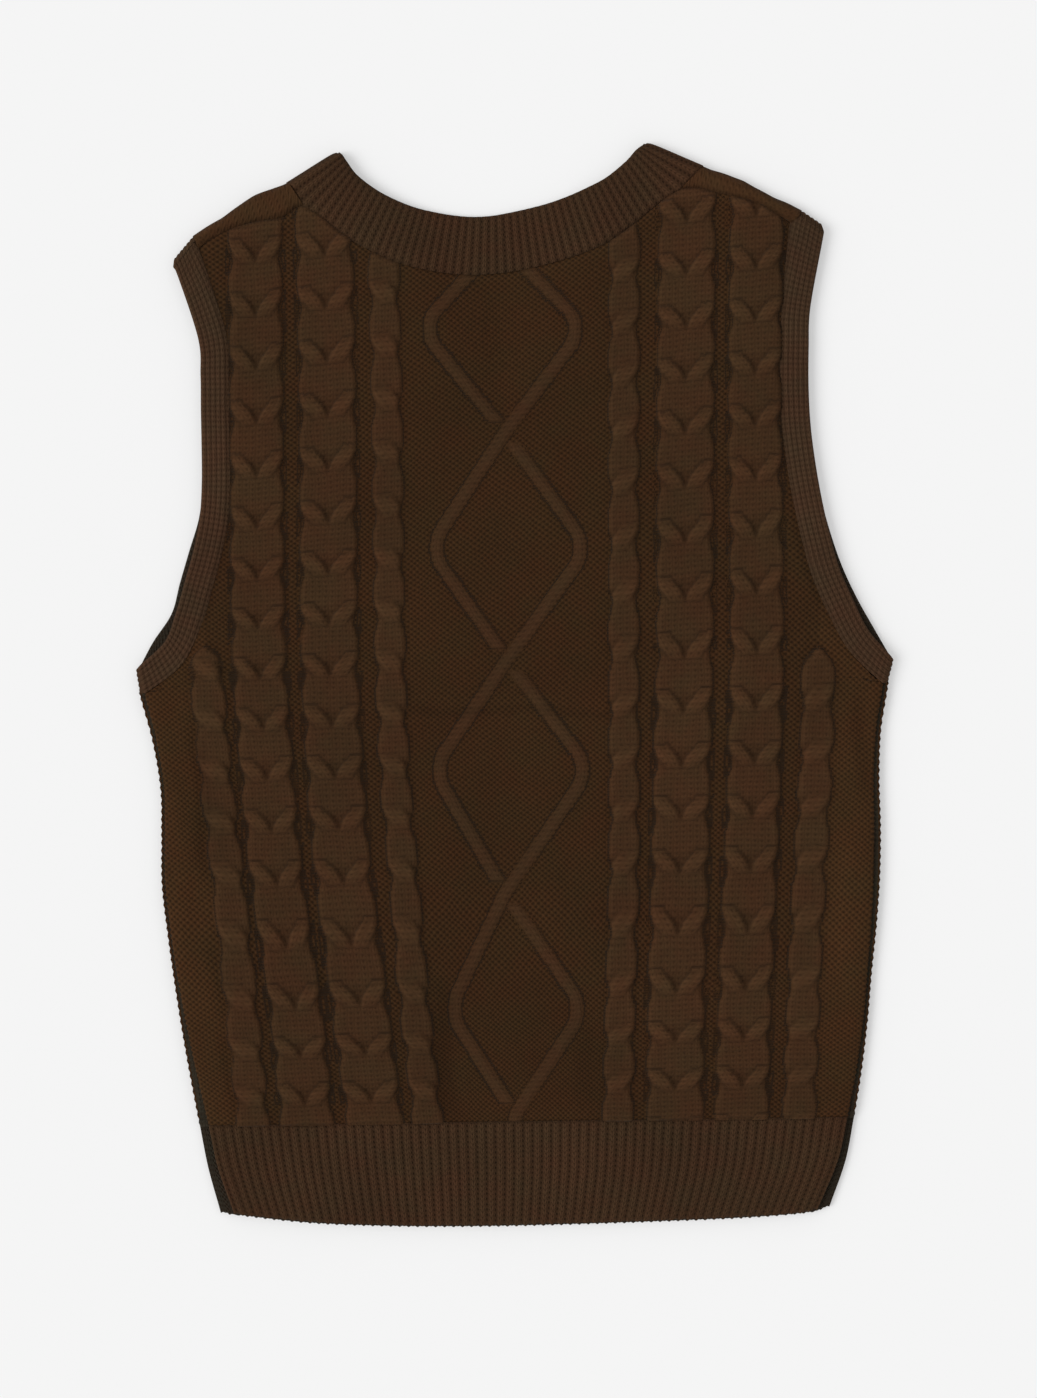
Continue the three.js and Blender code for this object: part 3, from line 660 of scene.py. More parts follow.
# ---- the knitted pattern ----
def phase_at(x, y):
    """Turns of the cables counted upwards; they cross where this is a whole number."""
    left, right = (read({"y": TURNS[side], "turn": TURNS["turn"]}, "turn", y) for side in TURN_SIDES)
    share = np.clip((x - TURNS_X[0]) / (TURNS_X[1] - TURNS_X[0]), -0.25, 1.25)
    return -lerp(left, right, share) - NOTCH_PHASE


def strands(q, phase, half, reach):
    """Two strands of a rope that change places at each crossing, q from -1 to 1 across the rope.

    Gives how high the knit stands, the place across the front strand, how near a crossing is, and
    the same for the front strand alone.
    """
    f = phase - np.round(phase)
    s = smoothstep(f, -reach, reach)
    slope = 3 * s * (1 - s) / reach * half / TURN
    straight = 1 / np.sqrt(1 + slope**2)
    over = np.cos(np.pi * f) ** 4
    front, back = (q - (s - 0.5)) * straight, (q - (0.5 - s)) * straight

    def bulge(d):
        return np.sqrt(np.clip(1 - (STRAND_NARROW * d) ** 6, 0, 1))

    front_height = bulge(front) * (1 + CROSS_LIFT * over)
    back_height = bulge(back) * (1 - CROSS_DIVE * over)
    crossing = np.where(front_height > back_height, over, 0)
    return np.maximum(front_height, back_height), front, over, crossing


def ground_stitches(x, y):
    """Stitches counted across the ground, whose columns lean with the cables."""
    middles = [read(CABLES, name, y) for name in CABLE_NAMES]
    knitted = [read(CABLES, name, COUNTED_AT) for name in CABLE_NAMES]
    count = np.where(x < middles[0], knitted[0] + x - middles[0], knitted[-1] + x - middles[-1])
    for a, b, from_x, to_x in zip(middles, middles[1:], knitted, knitted[1:]):
        share = (x - a) / (b - a)
        count = np.where((share >= 0) & (share < 1), lerp(from_x, to_x, share), count)
    return count / STITCH


def diamond_line(start_left, y):
    """One of the two lines of the diamonds, which changes sides at every crossing."""
    heights, places = [], []
    for i, (at, left, right) in enumerate(zip(*DIAMONDS.values())):
        on_left = ((i // 2) % 2 == 0) == start_left
        for offset in (0,) if i % 2 == 0 else (-DIAMOND_FLAT, DIAMOND_FLAT):
            heights.append(at + offset)
            places.append(left if on_left else right)
    return np.mean([np.interp(y + d, heights, places) for d in (-4, -2, 0, 2, 4)], axis=0)


def cabled(x, y):
    """The cabled knit at places in millimetres: rise, marks, stitches across and rows up."""
    phase = phase_at(x, y)
    f = phase - np.round(phase)
    rise, lit, purl = np.zeros_like(x), np.zeros_like(x), np.ones_like(x)
    stitches = ground_stitches(x, y)
    for name in CABLE_NAMES:
        middle, half = read(CABLES, name, y), CABLE_HALF[name[0]]
        kind, ropes = "rope", [(middle, half, -1 if name[1] == "l" else 1)]
        if name[0] in "ab":
            kind = "horseshoe"
            ropes = [(middle + lean * half / 2, half / 2, lean) for lean in (-1, 1)]
        pulled = half - CABLE_PULL * np.cos(np.pi * (f - PULL_AT)) ** 4
        if name[0] == "d":
            tip = np.clip((OUTER_CABLE_TOP - y) / OUTER_CABLE_TIP, 0, 1)
            pulled = pulled * np.sqrt(1 - (1 - tip) ** 2)
        edge = smoothstep(pulled - np.abs(x - middle), 0, CABLE_FLANK)
        notch_up = (f - NOTCH_AT) * TURN / NOTCH_HALF[1]
        notch = np.exp(-(((x - middle) / NOTCH_HALF[0]) ** 2) - notch_up**2)
        for centre, reach, lean in ropes:
            q = lean * (x - centre) / reach
            height, across, over, crossing = strands(q, phase, reach, CROSS_REACH[kind])
            inside = np.abs(q) <= 1
            base = lerp(LOBE, VALLEY[kind], over**1.5)
            made = CABLE_RISE * edge * (base + (1 - base) * height)
            if kind == "horseshoe":
                made = made - NOTCH_DEPTH * notch
            rise = np.where(inside, made, rise)
            purl = np.where(inside, 1 - edge, purl)
            # Strands on top at a crossing get a painted highlight.
            lit = np.where(inside, ARM_LIT * edge * smoothstep(crossing, *CROSS_SHOWN), lit)
            counted = np.where(crossing > 0.3, lean * across * 2, (x - middle) / STITCH)
            stitches = np.where(inside & (edge > 0.3), counted, stitches)
    crossings = DIAMONDS["y"][::2]
    nearest = np.abs(y[..., None] - crossings).argmin(axis=-1)
    away = np.abs(y - crossings[nearest])
    for start_left in (True, False):
        line = diamond_line(start_left, y)
        slope = (diamond_line(start_left, y + 1) - diamond_line(start_left, y - 1)) / 2
        d = (x - line) / np.sqrt(1 + slope**2) / LINE_HALF
        under = (nearest % 2 == 0) == start_left
        shown = np.where(under, smoothstep(away, *LINE_UNDER), 1)
        high = LINE_RISE * shown * np.clip(1 - d**2, 0, 1)
        on_line = high > rise
        rise = np.where(on_line, high, rise)
        purl = np.where(on_line, 1 - shown * smoothstep(1 - np.abs(d), 0, 0.45), purl)
        stitches = np.where(on_line & (shown > 0.5), d, stitches)
    ropes = [read(CABLES, name, y) for name in ("dl", "cl", "cr", "dr")]
    between = ((x > ropes[0]) & (x < ropes[1])) | ((x > ropes[2]) & (x < ropes[3]))
    beyond = (x < ropes[0]) | (x > ropes[3])
    # Painted light on the ground beyond the outer ropes.
    lit = np.where(beyond, lerp(lit, SIDE_LIT, purl), lit)
    marks = {"purl": purl, "channel": np.where(between, purl, 0.0), "lit": lit}
    return rise, marks, stitches, ROWS_PER_TURN * phase


def creases(x, y):
    """Troughs and swells placed one by one, each soft across and at its ends."""
    total = np.zeros_like(x)
    for x0, y0, x1, y1, width, depth in zip(*CREASES.values()):
        along = np.array((x1 - x0, y1 - y0))
        length = np.linalg.norm(along)
        along /= length
        t = (x - x0) * along[0] + (y - y0) * along[1]
        d = (x - x0) * along[1] - (y - y0) * along[0]
        ends = smoothstep(t, *CREASE_ENDS) * smoothstep(length - t, *CREASE_ENDS)
        wander = 1.5 * np.sin(t / 13 + x0)
        total += depth * ends * np.exp(-(((d + wander) / width) ** 2))
    return total


# ---- making a piece ----
def add_object(name, data):
    made = bpy.data.objects.new(name, data)
    bpy.context.scene.collection.objects.link(made)
    return made


def unit_wall(columns, rows, ring):
    """A flat wall from 0 to 1 each way, its wrong side one unit away from its right side."""
    bm = bmesh.new()
    bmesh.ops.create_grid(bm, x_segments=columns, y_segments=rows, size=0.5)
    bmesh.ops.translate(bm, verts=bm.verts, vec=(0.5, 0.5, 0))
    bmesh.ops.solidify(bm, geom=bm.faces[:], thickness=1.0)
    if ring:
        ends = [face for face in bm.faces if len({round(v.co.y, 5) for v in face.verts}) == 1]
        bmesh.ops.delete(bm, geom=ends, context="FACES_ONLY")
    mesh = bpy.data.meshes.new("cloth")
    bm.to_mesh(mesh)
    bm.free()
    return mesh


def cut_area(points):
    """Flat area of a piece in square metres, from its smooth middle surface."""
    middle = middle_of(points) * MM
    a, b = middle[1:, 1:] - middle[:-1, :-1], middle[1:, :-1] - middle[:-1, 1:]
    return float(np.linalg.norm(np.cross(a, b), axis=2).sum() / 2)


def make_piece(name, points, stitches, rows_up, marks, ring=False, cuts=()):
    """A closed wall of cloth. points holds the right and the wrong side of every place.

    The wall of a ring is joined end to end. Cuts are the sides at which another piece takes over.
    """
    row_count, column_count = points.shape[0] - 1, points.shape[1] - 1
    mesh = unit_wall(column_count, row_count, ring)
    co = np.empty(len(mesh.vertices) * 3)
    mesh.vertices.foreach_get("co", co)
    co = co.reshape(-1, 3)
    column = np.rint(co[:, 0] * column_count).astype(int)
    row = np.rint(co[:, 1] * row_count).astype(int)
    wrong = np.abs(co[:, 2]) > 0.5
    place = np.where(wrong[:, None], points[row, column, 3:], points[row, column, :3])
    mesh.vertices.foreach_set("co", (place * MM).ravel())

    corner = np.empty(len(mesh.loops), int)
    mesh.loops.foreach_get("vertex_index", corner)
    count = np.stack((stitches, rows_up), axis=-1)[row, column]
    layer = mesh.uv_layers.new(name="stitches")
    layer.uv.foreach_set("vector", count[corner].astype(np.float32).ravel())
    marks = {key: value[row, column] for key, value in marks.items()}
    marks["wrong_side"] = wrong.astype(float)
    for key, value in marks.items():
        attribute = mesh.attributes.new(key, "FLOAT", "POINT")
        attribute.data.foreach_set("value", value.astype(np.float32))
    if cuts:
        ends = np.empty(len(mesh.edges) * 2, int)
        mesh.edges.foreach_get("vertices", ends)
        start, end = column[ends].reshape(-1, 2).T
        on_cut = np.isin(start, [0 if cut == "left" else column_count for cut in cuts])
        mesh.edges.foreach_set("use_edge_sharp", on_cut & (start == end))

    bm = bmesh.new()
    bm.from_mesh(mesh)
    if ring:
        open_ends = {v for edge in bm.edges if edge.is_boundary for v in edge.verts}
        bmesh.ops.remove_doubles(bm, verts=list(open_ends), dist=1e-6)
    bmesh.ops.recalc_face_normals(bm, faces=bm.faces[:])
    for face in bm.faces:
        face.smooth = True
    bm.to_mesh(mesh)
    bm.free()
    mesh.name = name
    return add_object(name, mesh)


def raise_knit(points, height):
    """Moves the right side of the knit out of its wall by a height."""
    out = points[..., :3] - points[..., 3:]
    out /= np.linalg.norm(out, axis=-1, keepdims=True)
    moved = points.copy()
    moved[..., :3] += out * height[..., None]
    return moved


def hollows(height, reach, scale, soft=0.0):
    """A mask for painted shade, above 0 in grooves, and for painted light, below 0 on crests; soft adds
    broad hollows that the reach misses.
    """
    return np.clip((blur(height, reach) - height) / scale + soft, -1, 1)


def panel_flat(points):
    low, high = points[..., :2].min(axis=(0, 1)), points[..., :2].max(axis=(0, 1))
    return tuple(float(d) for d in (high - low) * MM)


# ---- colours and yarn ----
def node(tree, kind, inputs=(), **settings):
    """A shader node with its settings, its inputs linked or set in order."""
    made = tree.nodes.new("ShaderNode" + kind)
    for key, value in settings.items():
        setattr(made, key, value)
    for socket, value in zip(made.inputs, inputs):
        if value is None:
            continue
        if isinstance(value, bpy.types.NodeSocket):
            tree.links.new(value, socket)
        else:
            socket.default_value = value
    return made


def maths(tree, operation, *values):
    return node(tree, "Math", values, operation=operation).outputs[0]


def new_group(name, inputs, outputs):
    """A node group with named sockets, and its two ends."""
    group = bpy.data.node_groups.new(name, "ShaderNodeTree")
    for way, sockets in (("INPUT", inputs), ("OUTPUT", outputs)):
        for label, kind in sockets.items():
            group.interface.new_socket(label, in_out=way, socket_type="NodeSocket" + kind)
    return group, group.nodes.new("NodeGroupInput").outputs, group.nodes.new("NodeGroupOutput").inputs


def empty_tree(owner):
    """The node tree of a material or world, with nothing in it."""
    owner.use_nodes = True
    owner.node_tree.nodes.clear()
    return owner.node_tree


def stitch_group():
    """Height of single stitches, from stitches across and rows up. Purl 0 is knit and 1 is purl."""
    group, given, result = new_group(
        "stitch_shape",
        {"Stitches": "Vector", "Purl": "Float", "Rows": "Float"},
        {"Height": "Float", "Gap": "Float"},
    )
    sums = partial(maths, group)
    u, v, _ = node(group, "SeparateXYZ", (given["Stitches"],)).outputs
    wave_u = sums("COSINE", sums("MULTIPLY", u, 2 * math.pi))
    wave_v = sums("COSINE", sums("MULTIPLY", v, 2 * math.pi))
    # knit: two legs of a V in each stitch, which Rows turns into plain rows
    to_side = sums("MULTIPLY_ADD", sums("PINGPONG", u, 0.5), -2.0, 1.0)
    leg_at = sums("MULTIPLY_ADD", to_side, -0.45, v)
    leg = sums("ABSOLUTE", sums("COSINE", sums("MULTIPLY", leg_at, math.pi)))
    off_middle = sums("ABSOLUTE", sums("MULTIPLY_ADD", to_side, 2.0, -1.0))
    round_leg = sums("SUBTRACT", 1.0, sums("POWER", off_middle, 2.5))
    columns = sums("MULTIPLY_ADD", leg, 0.6, sums("MULTIPLY", round_leg, 0.4))
    in_rows = sums("MULTIPLY_ADD", wave_v, 0.25, sums("MULTIPLY_ADD", columns, 0.3, 0.47))
    knit = node(group, "Mix", (given["Rows"], None, columns, in_rows)).outputs[0]
    # purl: arcs that leave a staggered grid of small hollows
    purl = sums("MULTIPLY_ADD", sums("MULTIPLY", wave_u, wave_v), 0.5, 0.5)
    height = node(group, "Mix", (given["Purl"], None, knit, purl)).outputs[0]
    group.links.new(height, result["Height"])
    # Gap is the mask for the painted shade between the stitches.
    group.links.new(sums("POWER", sums("SUBTRACT", 1.0, height), 2.0), result["Gap"])
    return group


def yarn_group():
    """Uneven dye and loose fibres of the yarn, by place on the garment."""
    group, given, result = new_group(
        "yarn_unevenness",
        {"Place": "Vector"},
        {"Dye": "Float", "Tint": "Float", "Fibre": "Float", "Drift": "Vector"},
    )

    def noise(place, scale, detail, roughness):
        return node(group, "TexNoise", (place, None, scale, detail, roughness)).outputs

    place = given["Place"]
    shifted = node(group, "VectorMath", (place, (0.7, 0.3, 0.0)), operation="ADD").outputs[0]
    heather = maths(group, "MULTIPLY", noise(place, 330.0, 2.0, 0.6)[0], 0.45)
    dye = maths(group, "MULTIPLY_ADD", noise(place, 14.0, 3.0, 0.6)[0], 0.55, heather)
    group.links.new(dye, result["Dye"])
    group.links.new(noise(shifted, 45.0, 3.0, 0.6)[0], result["Tint"])
    group.links.new(noise(place, 1400.0, 3.0, 0.7)[0], result["Fibre"])
    group.links.new(noise(place, 60.0, 2.0, 0.5)[1], result["Drift"])
    return group


GROUPS = {"stitch": stitch_group(), "yarn": yarn_group()}
# Painted shade in the gaps between stitches, a little deeper in the channels between the ropes.
GAP_SHADE_BROWN = (0.0150, 0.0075, 0.0034, 1)
# Colour of the wrong side of the knit, which shows where the lower layer peeks out beside and below the
# upper one; it is darker and greyer than the yarn, painted shade of that narrow strip.
WRONG_SIDE_SHADE_BROWN = (0.0270, 0.0215, 0.0148, 1)
RED_TINT = (1.05, 0.96, 0.96, 1)
GREEN_TINT = (0.94, 1.04, 1.02, 1)
WANDER = 0.9  # how many stitches the rows stray from straight
HOLLOW_SHADE = 0.19  # how much the painted shade darkens hollows and the painted light brightens crests
YARN = {
    "Roughness": 0.95,
    "Specular IOR Level": 0.05,
    "Sheen Weight": 0.05,
    "Sheen Roughness": 0.45,
    "Sheen Tint": (0.8, 0.6, 0.45, 1),
}


def yarn_material(name, knit_brown, purl_brown, stitch_depth, rows_share):
    """Brushed yarn: stitches from the piece's own map, with painted shade in gaps and hollows and painted
    light on crests.
    """
    material = bpy.data.materials.new(name)
    tree = empty_tree(material)
    sums = partial(maths, tree)

    def mix(factor, a, b):
        return node(tree, "Mix", (factor, *[None] * 5, a, b), data_type="RGBA").outputs[2]

    def vector(operation, *values):
        return node(tree, "VectorMath", values, operation=operation)

    def scaled(value, scale):
        """A vector times a number or a socket."""
        return vector("SCALE", value, None, None, scale).outputs[0]

    purl, hollow, wrong, channel = (
        node(tree, "Attribute", attribute_name=mark).outputs["Fac"]
        for mark in ("purl", "hollow", "wrong_side", "channel")
    )
    place = node(tree, "TexCoord").outputs["Object"]
    yarn = node(tree, "Group", (place,), node_tree=GROUPS["yarn"]).outputs
    stitch_map = node(tree, "UVMap", uv_map="stitches").outputs[0]
    drift = vector("SUBTRACT", yarn["Drift"], (0.5, 0.5, 0.5)).outputs[0]
    uneven = vector("ADD", stitch_map, scaled(drift, WANDER)).outputs[0]
    swapped = sums("ABSOLUTE", sums("SUBTRACT", purl, wrong))
    counted = (uneven, swapped, rows_share)
    stitch = node(tree, "Group", counted, node_tree=GROUPS["stitch"]).outputs

    colour = mix(wrong, mix(swapped, knit_brown, purl_brown), WRONG_SIDE_SHADE_BROWN)
    # The gaps get painted shade, fullest in the channels between the ropes.
    gap_shade = sums("MULTIPLY", stitch["Gap"], sums("MULTIPLY_ADD", channel, 0.05, 0.95))
    tint = mix(sums("MULTIPLY_ADD", yarn["Tint"], 3.0, -1.0), RED_TINT, GREEN_TINT)
    colour = vector("MULTIPLY", mix(gap_shade, colour, GAP_SHADE_BROWN), tint).outputs[0]
    dye = sums("MULTIPLY_ADD", yarn["Dye"], 0.8, 0.6)
    fibre = sums("MULTIPLY_ADD", yarn["Fibre"], 0.36, 0.82)
    shade = sums("MULTIPLY_ADD", hollow, -HOLLOW_SHADE, 1.0)
    colour = scaled(colour, sums("MULTIPLY", sums("MULTIPLY", dye, fibre), shade))

    fuzz = sums("MULTIPLY_ADD", yarn["Fibre"], 0.35, stitch["Height"])
    bump = node(tree, "Bump")
    bump.inputs["Distance"].default_value = stitch_depth
    tree.links.new(fuzz, bump.inputs["Height"])
    cloth = node(tree, "BsdfPrincipled")
    for label, value in YARN.items():
        cloth.inputs[label].default_value = value
    tree.links.new(colour, cloth.inputs["Base Color"])
    tree.links.new(sums("MULTIPLY_ADD", yarn["Fibre"], 0.1, 0.88), cloth.inputs["Roughness"])
    tree.links.new(bump.outputs[0], cloth.inputs["Normal"])
    node(tree, "OutputMaterial", (cloth.outputs[0],))
    return material


# name, colours of knit and purl, depth of the stitches in metres, share of plain rows; the much darker
# purl of the ribs and bands is painted shade in their troughs and grooves
KNITS = {
    knit[0]: yarn_material(*knit)
    for knit in (
        ("cable_knit", (0.0530, 0.0250, 0.0110, 1), (0.0510, 0.0228, 0.0084, 1), 0.0009, 0.8),
        ("rib_knit", (0.0560, 0.0280, 0.0138, 1), (0.0440, 0.0215, 0.0105, 1), 0.0007, 0.1),
        ("band_knit", (0.0640, 0.0340, 0.0182, 1), (0.0380, 0.0190, 0.0098, 1), 0.0009, 0.5),
    )
}


# ---- the pieces ----
BACK_GRIDS = {"left": (128, 336), "middle": (104, 336), "right": (128, 336)}
FRONT_GRIDS = {"left": (92, 250), "right": (92, 250)}
WELT_GRID = (10 * WELT_RIBS, 22)
NECKBAND_GRID = (16, 1080)
ARMBAND_GRID = (26, 380)
SEAM_SINK = 1.0  # how far a panel's face dips into its seams
SEAM_SOFT = 4.0
WELT_SINK = 0.3  # share of that dip at the welts
WELT_SOFT = 3.0
NECK_SINK = 0.8
BAND_SINK = 1.1
# Painted shade in creases and in the dip along the armholes, painted light on swells.
BEND_SHADE = 1.1
LUMP = 0.35  # the fold at the shoulders is uneven by this much
ARMHOLE_SINK = 0.7
ARMHOLE_SOFT = 7.0
FLAP_SWELL = 0.8
FLAP_LONG = 22.0
FLAP_PURL = 0.45
ON_FRONT = ["front_left", "front_right"]
TOOTH = 0.7
TOOTH_SOFT = 2.5
HEM_WAVE = 0.25
BAND_RISE = 0.45
UNDERARM_FADE = (-5.0, 25.0)  # the dip of an armband's seam comes up between these heights


def declare(piece, node_name, slot, flat, area, rests_on):
    piece.data.materials.append(KNITS[slot])
    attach(piece, "root")
    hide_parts(node_name)


def turning(points):
    """1 where a wall turns over a fold and 0 where it lies flat."""
    share = np.clip(points[..., 2] / (2 * FOLD_REACH), 0, 1)
    return 4 * share * (1 - share)


def near_seam(distance, width):
    """1 at a seam and 0 from a width away."""
    return 1 - smoothstep(distance, 0, width)


def teeth(points, from_side, sign):
    """Every other row of a side edge stands out a little, as knitted edges do."""
    row = np.arange(points.shape[0])[:, None]
    out = sign * TOOTH * (row % 2 - 0.5) * near_seam(from_side, TOOTH_SOFT)
    points[..., 0] += out
    points[..., 3] += out


def panel_parts(nets, grids):
    """Parts of a panel with rows that meet: points, runs along and across, and the cabled knit."""
    all_rows = np.concatenate(list(nets.values()), axis=1)
    for part, net in nets.items():
        columns, rows = grids[part]
        rows_at = even_places(all_rows, 0, rows)
        points = spread(net, rows_at, even_places(net, 1, columns))
        runs = run_along(points, 0), run_along(points, 1)
        yield part, rows_at[:, None], points, *runs, *cabled(points[..., 0], points[..., 1])


def make_back():
    nets = {part: back_net(part) for part in BACK_GRIDS}
    for part, rows_at, points, along, across, *knit in panel_parts(nets, BACK_GRIDS):
        rise, marks, stitches, rows_up = knit
        dip = np.maximum(WELT_SINK * near_seam(along, WELT_SOFT), near_seam(along[-1] - along, SEAM_SOFT))
        bent = creases(points[..., 0], points[..., 1])
        area, flat = cut_area(points), panel_flat(points)
        if part != "middle":
            from_side = across if part == "left" else across[:, -1:] - across
            at_armhole = smoothstep(rows_at, ARM_ROW, ARM_ROW + 3)
            bent = bent - ARMHOLE_SINK * near_seam(from_side, ARMHOLE_SOFT) * at_armhole
            teeth(points, from_side, -1 if part == "left" else 1)
        height = rise * (1 - dip) - SEAM_SINK * dip + bent
        # Painted shade in grooves, creases and seam dips; painted light on crests, swells, strands
        # crossing on top and the ground beyond the outer ropes.
        marks["hollow"] = hollows(height, reach=3, scale=0.8, soft=-BEND_SHADE * bent) - marks.pop("lit")
        cuts = [cut for cut in ("left", "right") if cut != part]
        piece = make_piece("back_" + part, raise_knit(points, height), stitches, rows_up, marks, cuts=cuts)
        declare(piece, "back_panel", "cable_knit", flat, area, ON_FRONT)


def make_front():
    nets = {"left": front_net(LEFT), "right": front_net(RIGHT)}
    flap_row = len(nets["left"]) - FLAP_ROWS
    for part, rows_at, points, along, across, *knit in panel_parts(nets, FRONT_GRIDS):
        rise, marks, stitches, _ = knit
        x = points[..., 0]
        flap = smoothstep(rows_at, flap_row - 1, flap_row + 1)
        dip = near_seam(np.minimum(along, along[-1] - along), SEAM_SOFT)
        laid = (rise - CABLE_RISE * (1 + CROSS_LIFT)) * (1 - flap)
        turn = turning(points)
        arch = np.sin(np.pi * np.clip((along[-1] - along) / FLAP_LONG, 0, 1))
        swell = FLAP_SWELL * flap * arch * (1 - turn)
        lumps = -LUMP * turn * (1 + np.sin(x / 5.5 + 0.6 * np.sin(x / 3)))
        height = laid * (1 - dip) + swell + lumps - SEAM_SINK * dip * flap
        marks["purl"] = lerp(marks["purl"], FLAP_PURL, flap)
        marks["channel"] = marks["channel"] * (1 - flap)
        # Painted shade in grooves, painted light on crests and on strands crossing on top.
        marks["hollow"] = hollows(height, reach=3, scale=0.8) - marks.pop("lit") * (1 - flap)
        stitches = np.where(flap > 0.5, across / STITCH, stitches)
        area, flat = cut_area(points), panel_flat(points)
        teeth(points, np.where(rows_at < SIDE_ROWS + 0.5, across, 50), -1 if part == "left" else 1)
        raised = raise_knit(points, height)
        piece = make_piece("front_" + part, raised, stitches, along / ROW, marks, cuts=("right",))
        declare(piece, "front_panel", "cable_knit", flat, area, ["floor"])


def make_welt(name, layer, rests_on):
    net = welt_net(layer)
    rows_at = even_places(net, 0, WELT_GRID[1])
    points = spread(net, rows_at, even_places(net, 1, WELT_GRID[0]))
    across, along = run_along(points, 1), run_along(points, 0)
    ribs = across / across[:, -1:] * WELT_RIBS
    wave = np.cos(2 * np.pi * ribs)
    trough = (0.5 - 0.5 * wave) ** 2.5
    dip = near_seam(along[-1] - along, WELT_SOFT)
    height = -RIB_RISE * trough * (1 - dip) - WELT_SINK * SEAM_SINK * dip
    edge_wave = HEM_WAVE * (wave + np.cos(4 * np.pi * ribs)) * near_seam(along, 3.5)
    points[..., 1] -= edge_wave
    points[..., 4] -= edge_wave
    # The troughs are purl columns; their darker purl colour is painted shade.
    marks = {"purl": smoothstep(trough, 0.2, 0.8), "hollow": hollows(height, reach=3, scale=0.6)}
    raised = raise_knit(points, height)
    piece = make_piece(name + "_rib", raised, 2 * ribs + 0.5, along / ROW, marks)
    declare(piece, name, "rib_knit", panel_flat(points), cut_area(points), rests_on)


def ring_places(net, grid):
    """Points of a band that closes on itself, the run round its middle and the run across it."""
    rows_at = even_places(net, 0, grid[1], closed=True)
    points = spread(net, rows_at, even_places(net, 1, grid[0]), closed=True)
    along = run_along(points, 0)
    return points, along[:, len(along[0]) // 2][:, None], run_along(points, 1)


def ring_flat(points, ring, across):
    """A ring's length and greatest width, and its flat area."""
    area = cut_area(points)
    width = float(across[:, -1].max() * MM)
    return (max(float(ring[-1, 0] * MM), area / width), width), area


def make_neckband():
    points, ring, across = ring_places(neckband_net(), NECKBAND_GRID)
    count = round(float(ring[-1, 0]) / NECK_RIB)
    ribs = np.broadcast_to(ring / ring[-1] * count, across.shape)
    trough = (0.5 - 0.5 * np.cos(2 * np.pi * ribs)) ** 1.5
    dip = near_seam(across[:, -1:] - across, WELT_SOFT) * (1 - turning(points))
    height = -RIB_RISE * trough * (1 - dip) - NECK_SINK * dip
    # The troughs are purl columns; their darker purl colour is painted shade.
    marks = {"purl": smoothstep(trough, 0.2, 0.8), "hollow": hollows(height, reach=3, scale=0.6)}
    raised = raise_knit(points, height)
    piece = make_piece("neckband_rib", raised, 2 * ribs + 0.5, across / ROW, marks, ring=True)
    declare(piece, "neckband", "rib_knit", *ring_flat(points, ring, across), ON_FRONT)


def make_armband(name, side):
    points, ring, across = ring_places(armband_net(side), ARMBAND_GRID)
    rounds = across / BAND_LINE
    line = (0.5 + 0.5 * np.cos(2 * np.pi * rounds)) ** 2
    dip = near_seam(across[:, -1:] - across, SEAM_SOFT) * (1 - turning(points))
    dip *= smoothstep(points[..., 1] - side.low, *UNDERARM_FADE)
    height = -BAND_RISE * line * (1 - dip) - BAND_SINK * dip
    # Painted shade in the groove along the seam and a painted highlight along the free edge.
    soft = 0.5 * dip - 0.7 * near_seam(across, 1.8)
    # The grooves between the band's lines take the darker purl colour: painted shade.
    marks = {"purl": 0.6 * line, "hollow": hollows(height, reach=2, scale=0.5, soft=soft)}
    rows_up = np.broadcast_to(ring / BAND_ROW, across.shape)
    piece = make_piece(name + "_rib", raise_knit(points, height), rounds, rows_up, marks, ring=True)
    declare(piece, name, "band_knit", *ring_flat(points, ring, across), ON_FRONT)


# ---- studio ----
FRAME_HEIGHT = 0.8025
LENS = 100.0
SENSOR = 36.0
AIM = (0.002, -0.00775)
WORLD_LIGHT = 0.6
KEY_TILT = math.radians(46)
KEY_TURN = math.radians(8)
KEY_SOFT = math.radians(40)
PALE = (0.913, 0.913, 0.913, 1)
CLOSE = 0.02  # light within this distance passes the floor, so that undersides are lit too
FLOOR_GLOW = 0.4  # share of the floor that keeps its paleness in shadow, as on a lit table
FLOOR_HALF = 6.0
FLOOR_GAP = 0.0006


def make_camera():
    data = bpy.data.cameras.new("camera")
    data.lens, data.sensor_width = LENS, SENSOR
    data.clip_end = 20
    camera = add_object("camera", data)
    camera.location = (*AIM, CAD_BOX[1].z + FRAME_HEIGHT * LENS / SENSOR)
    bpy.context.scene.camera = camera


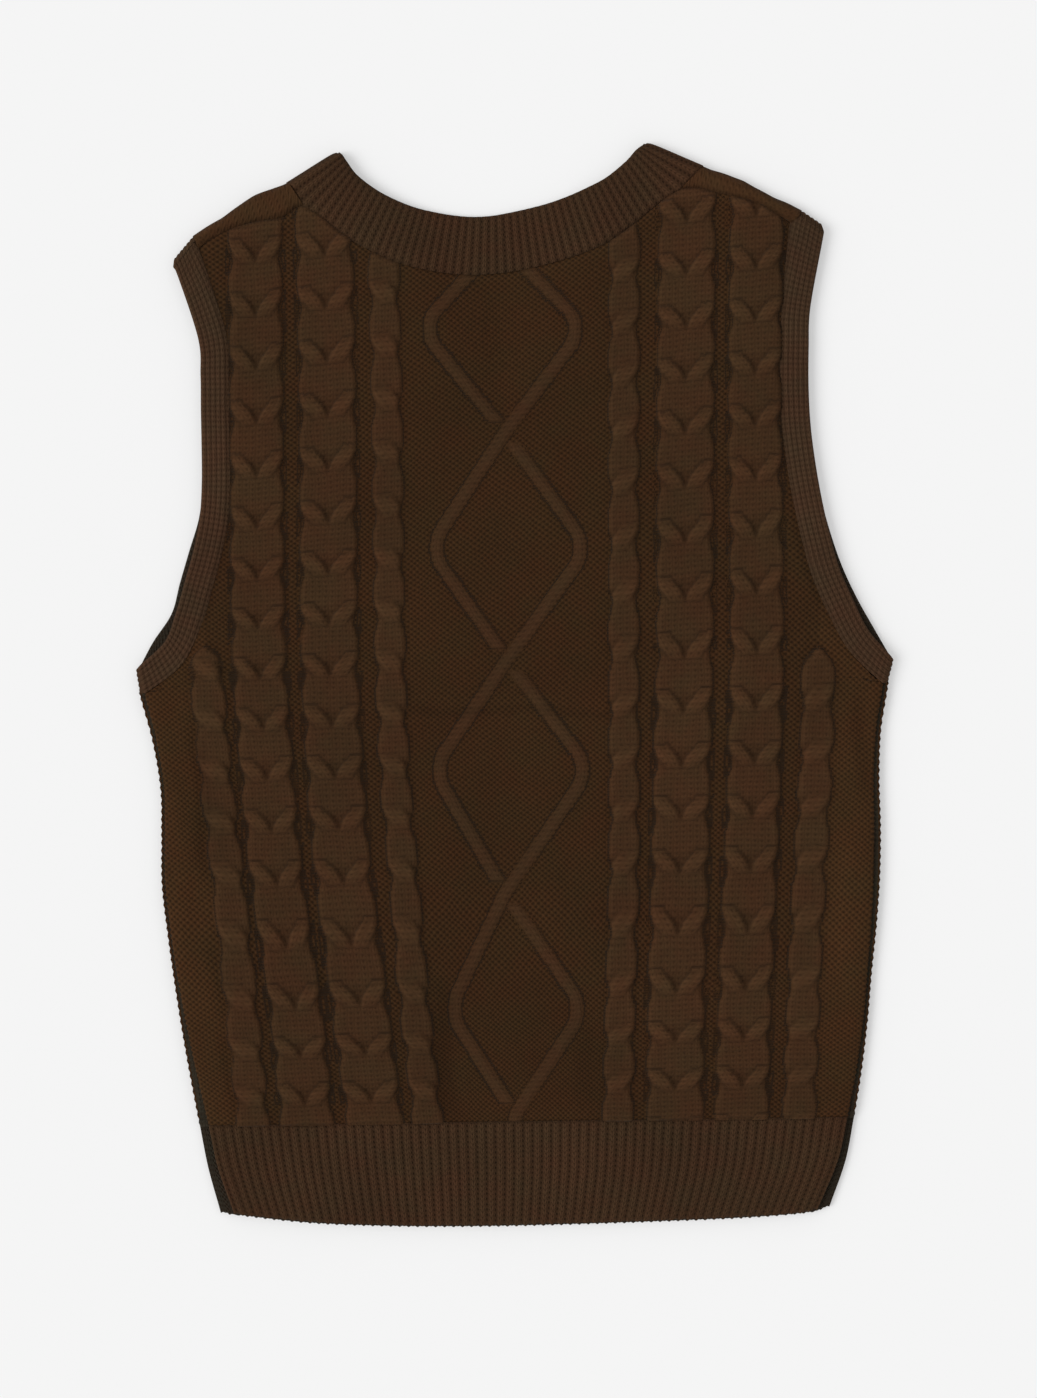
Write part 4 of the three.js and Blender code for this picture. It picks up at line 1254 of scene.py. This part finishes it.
def make_floor():
    bm = bmesh.new()
    bmesh.ops.create_grid(bm, x_segments=1, y_segments=1, size=FLOOR_HALF)
    bmesh.ops.translate(bm, verts=bm.verts, vec=(0, 0, CAD_BOX[0].z - FLOOR_GAP))
    mesh = bpy.data.meshes.new("floor")
    bm.to_mesh(mesh)
    bm.free()
    material = bpy.data.materials.new("pale_floor")
    tree = empty_tree(material)
    path = node(tree, "LightPath").outputs
    diffuse = node(tree, "BsdfDiffuse", (PALE,))
    glow = node(tree, "Emission", (PALE, 1.0))
    glow_share = maths(tree, "MULTIPLY", path["Is Camera Ray"], FLOOR_GLOW)
    plain = node(tree, "MixShader", (glow_share, diffuse.outputs[0], glow.outputs[0]))
    clear = node(tree, "BsdfTransparent")
    below = node(tree, "NewGeometry").outputs["Backfacing"]
    close = maths(tree, "LESS_THAN", path["Ray Length"], CLOSE)
    hidden = maths(tree, "MAXIMUM", below, maths(tree, "MULTIPLY", close, path["Is Diffuse Ray"]))
    seen = node(tree, "MixShader", (hidden, plain.outputs[0], clear.outputs[0]))
    node(tree, "OutputMaterial", (seen.outputs[0],))
    mesh.materials.append(material)
    add_object("floor", mesh)


def make_light():
    scene = bpy.context.scene
    scene.view_settings.view_transform = "Standard"
    scene.world = bpy.data.worlds.new("studio")
    tree = empty_tree(scene.world)
    light = node(tree, "Background", ((1, 1, 1, 1), WORLD_LIGHT))
    seen = node(tree, "Background", (PALE, 1.0))
    path = node(tree, "LightPath").outputs
    straight = maths(tree, "ADD", path["Is Camera Ray"], path["Is Glossy Ray"])
    direct = maths(tree, "MAXIMUM", straight, path["Is Transmission Ray"])
    mixed = node(tree, "MixShader", (direct, light.outputs[0], seen.outputs[0]))
    node(tree, "OutputWorld", (mixed.outputs[0],))

    data = bpy.data.lights.new("soft_key", "SUN")
    data.energy = (1 - WORLD_LIGHT) * math.pi / math.cos(KEY_TILT)
    data.angle = KEY_SOFT
    add_object("soft_key", data).rotation_euler = (0, -KEY_TILT, KEY_TURN)


make_camera()
make_floor()
make_light()
make_front()
make_back()
make_welt("hem_front", "front", ["floor"])
make_welt("hem_back", "back", ["hem_front"])
make_neckband()
make_armband("armband_left", LEFT)
make_armband("armband_right", RIGHT)
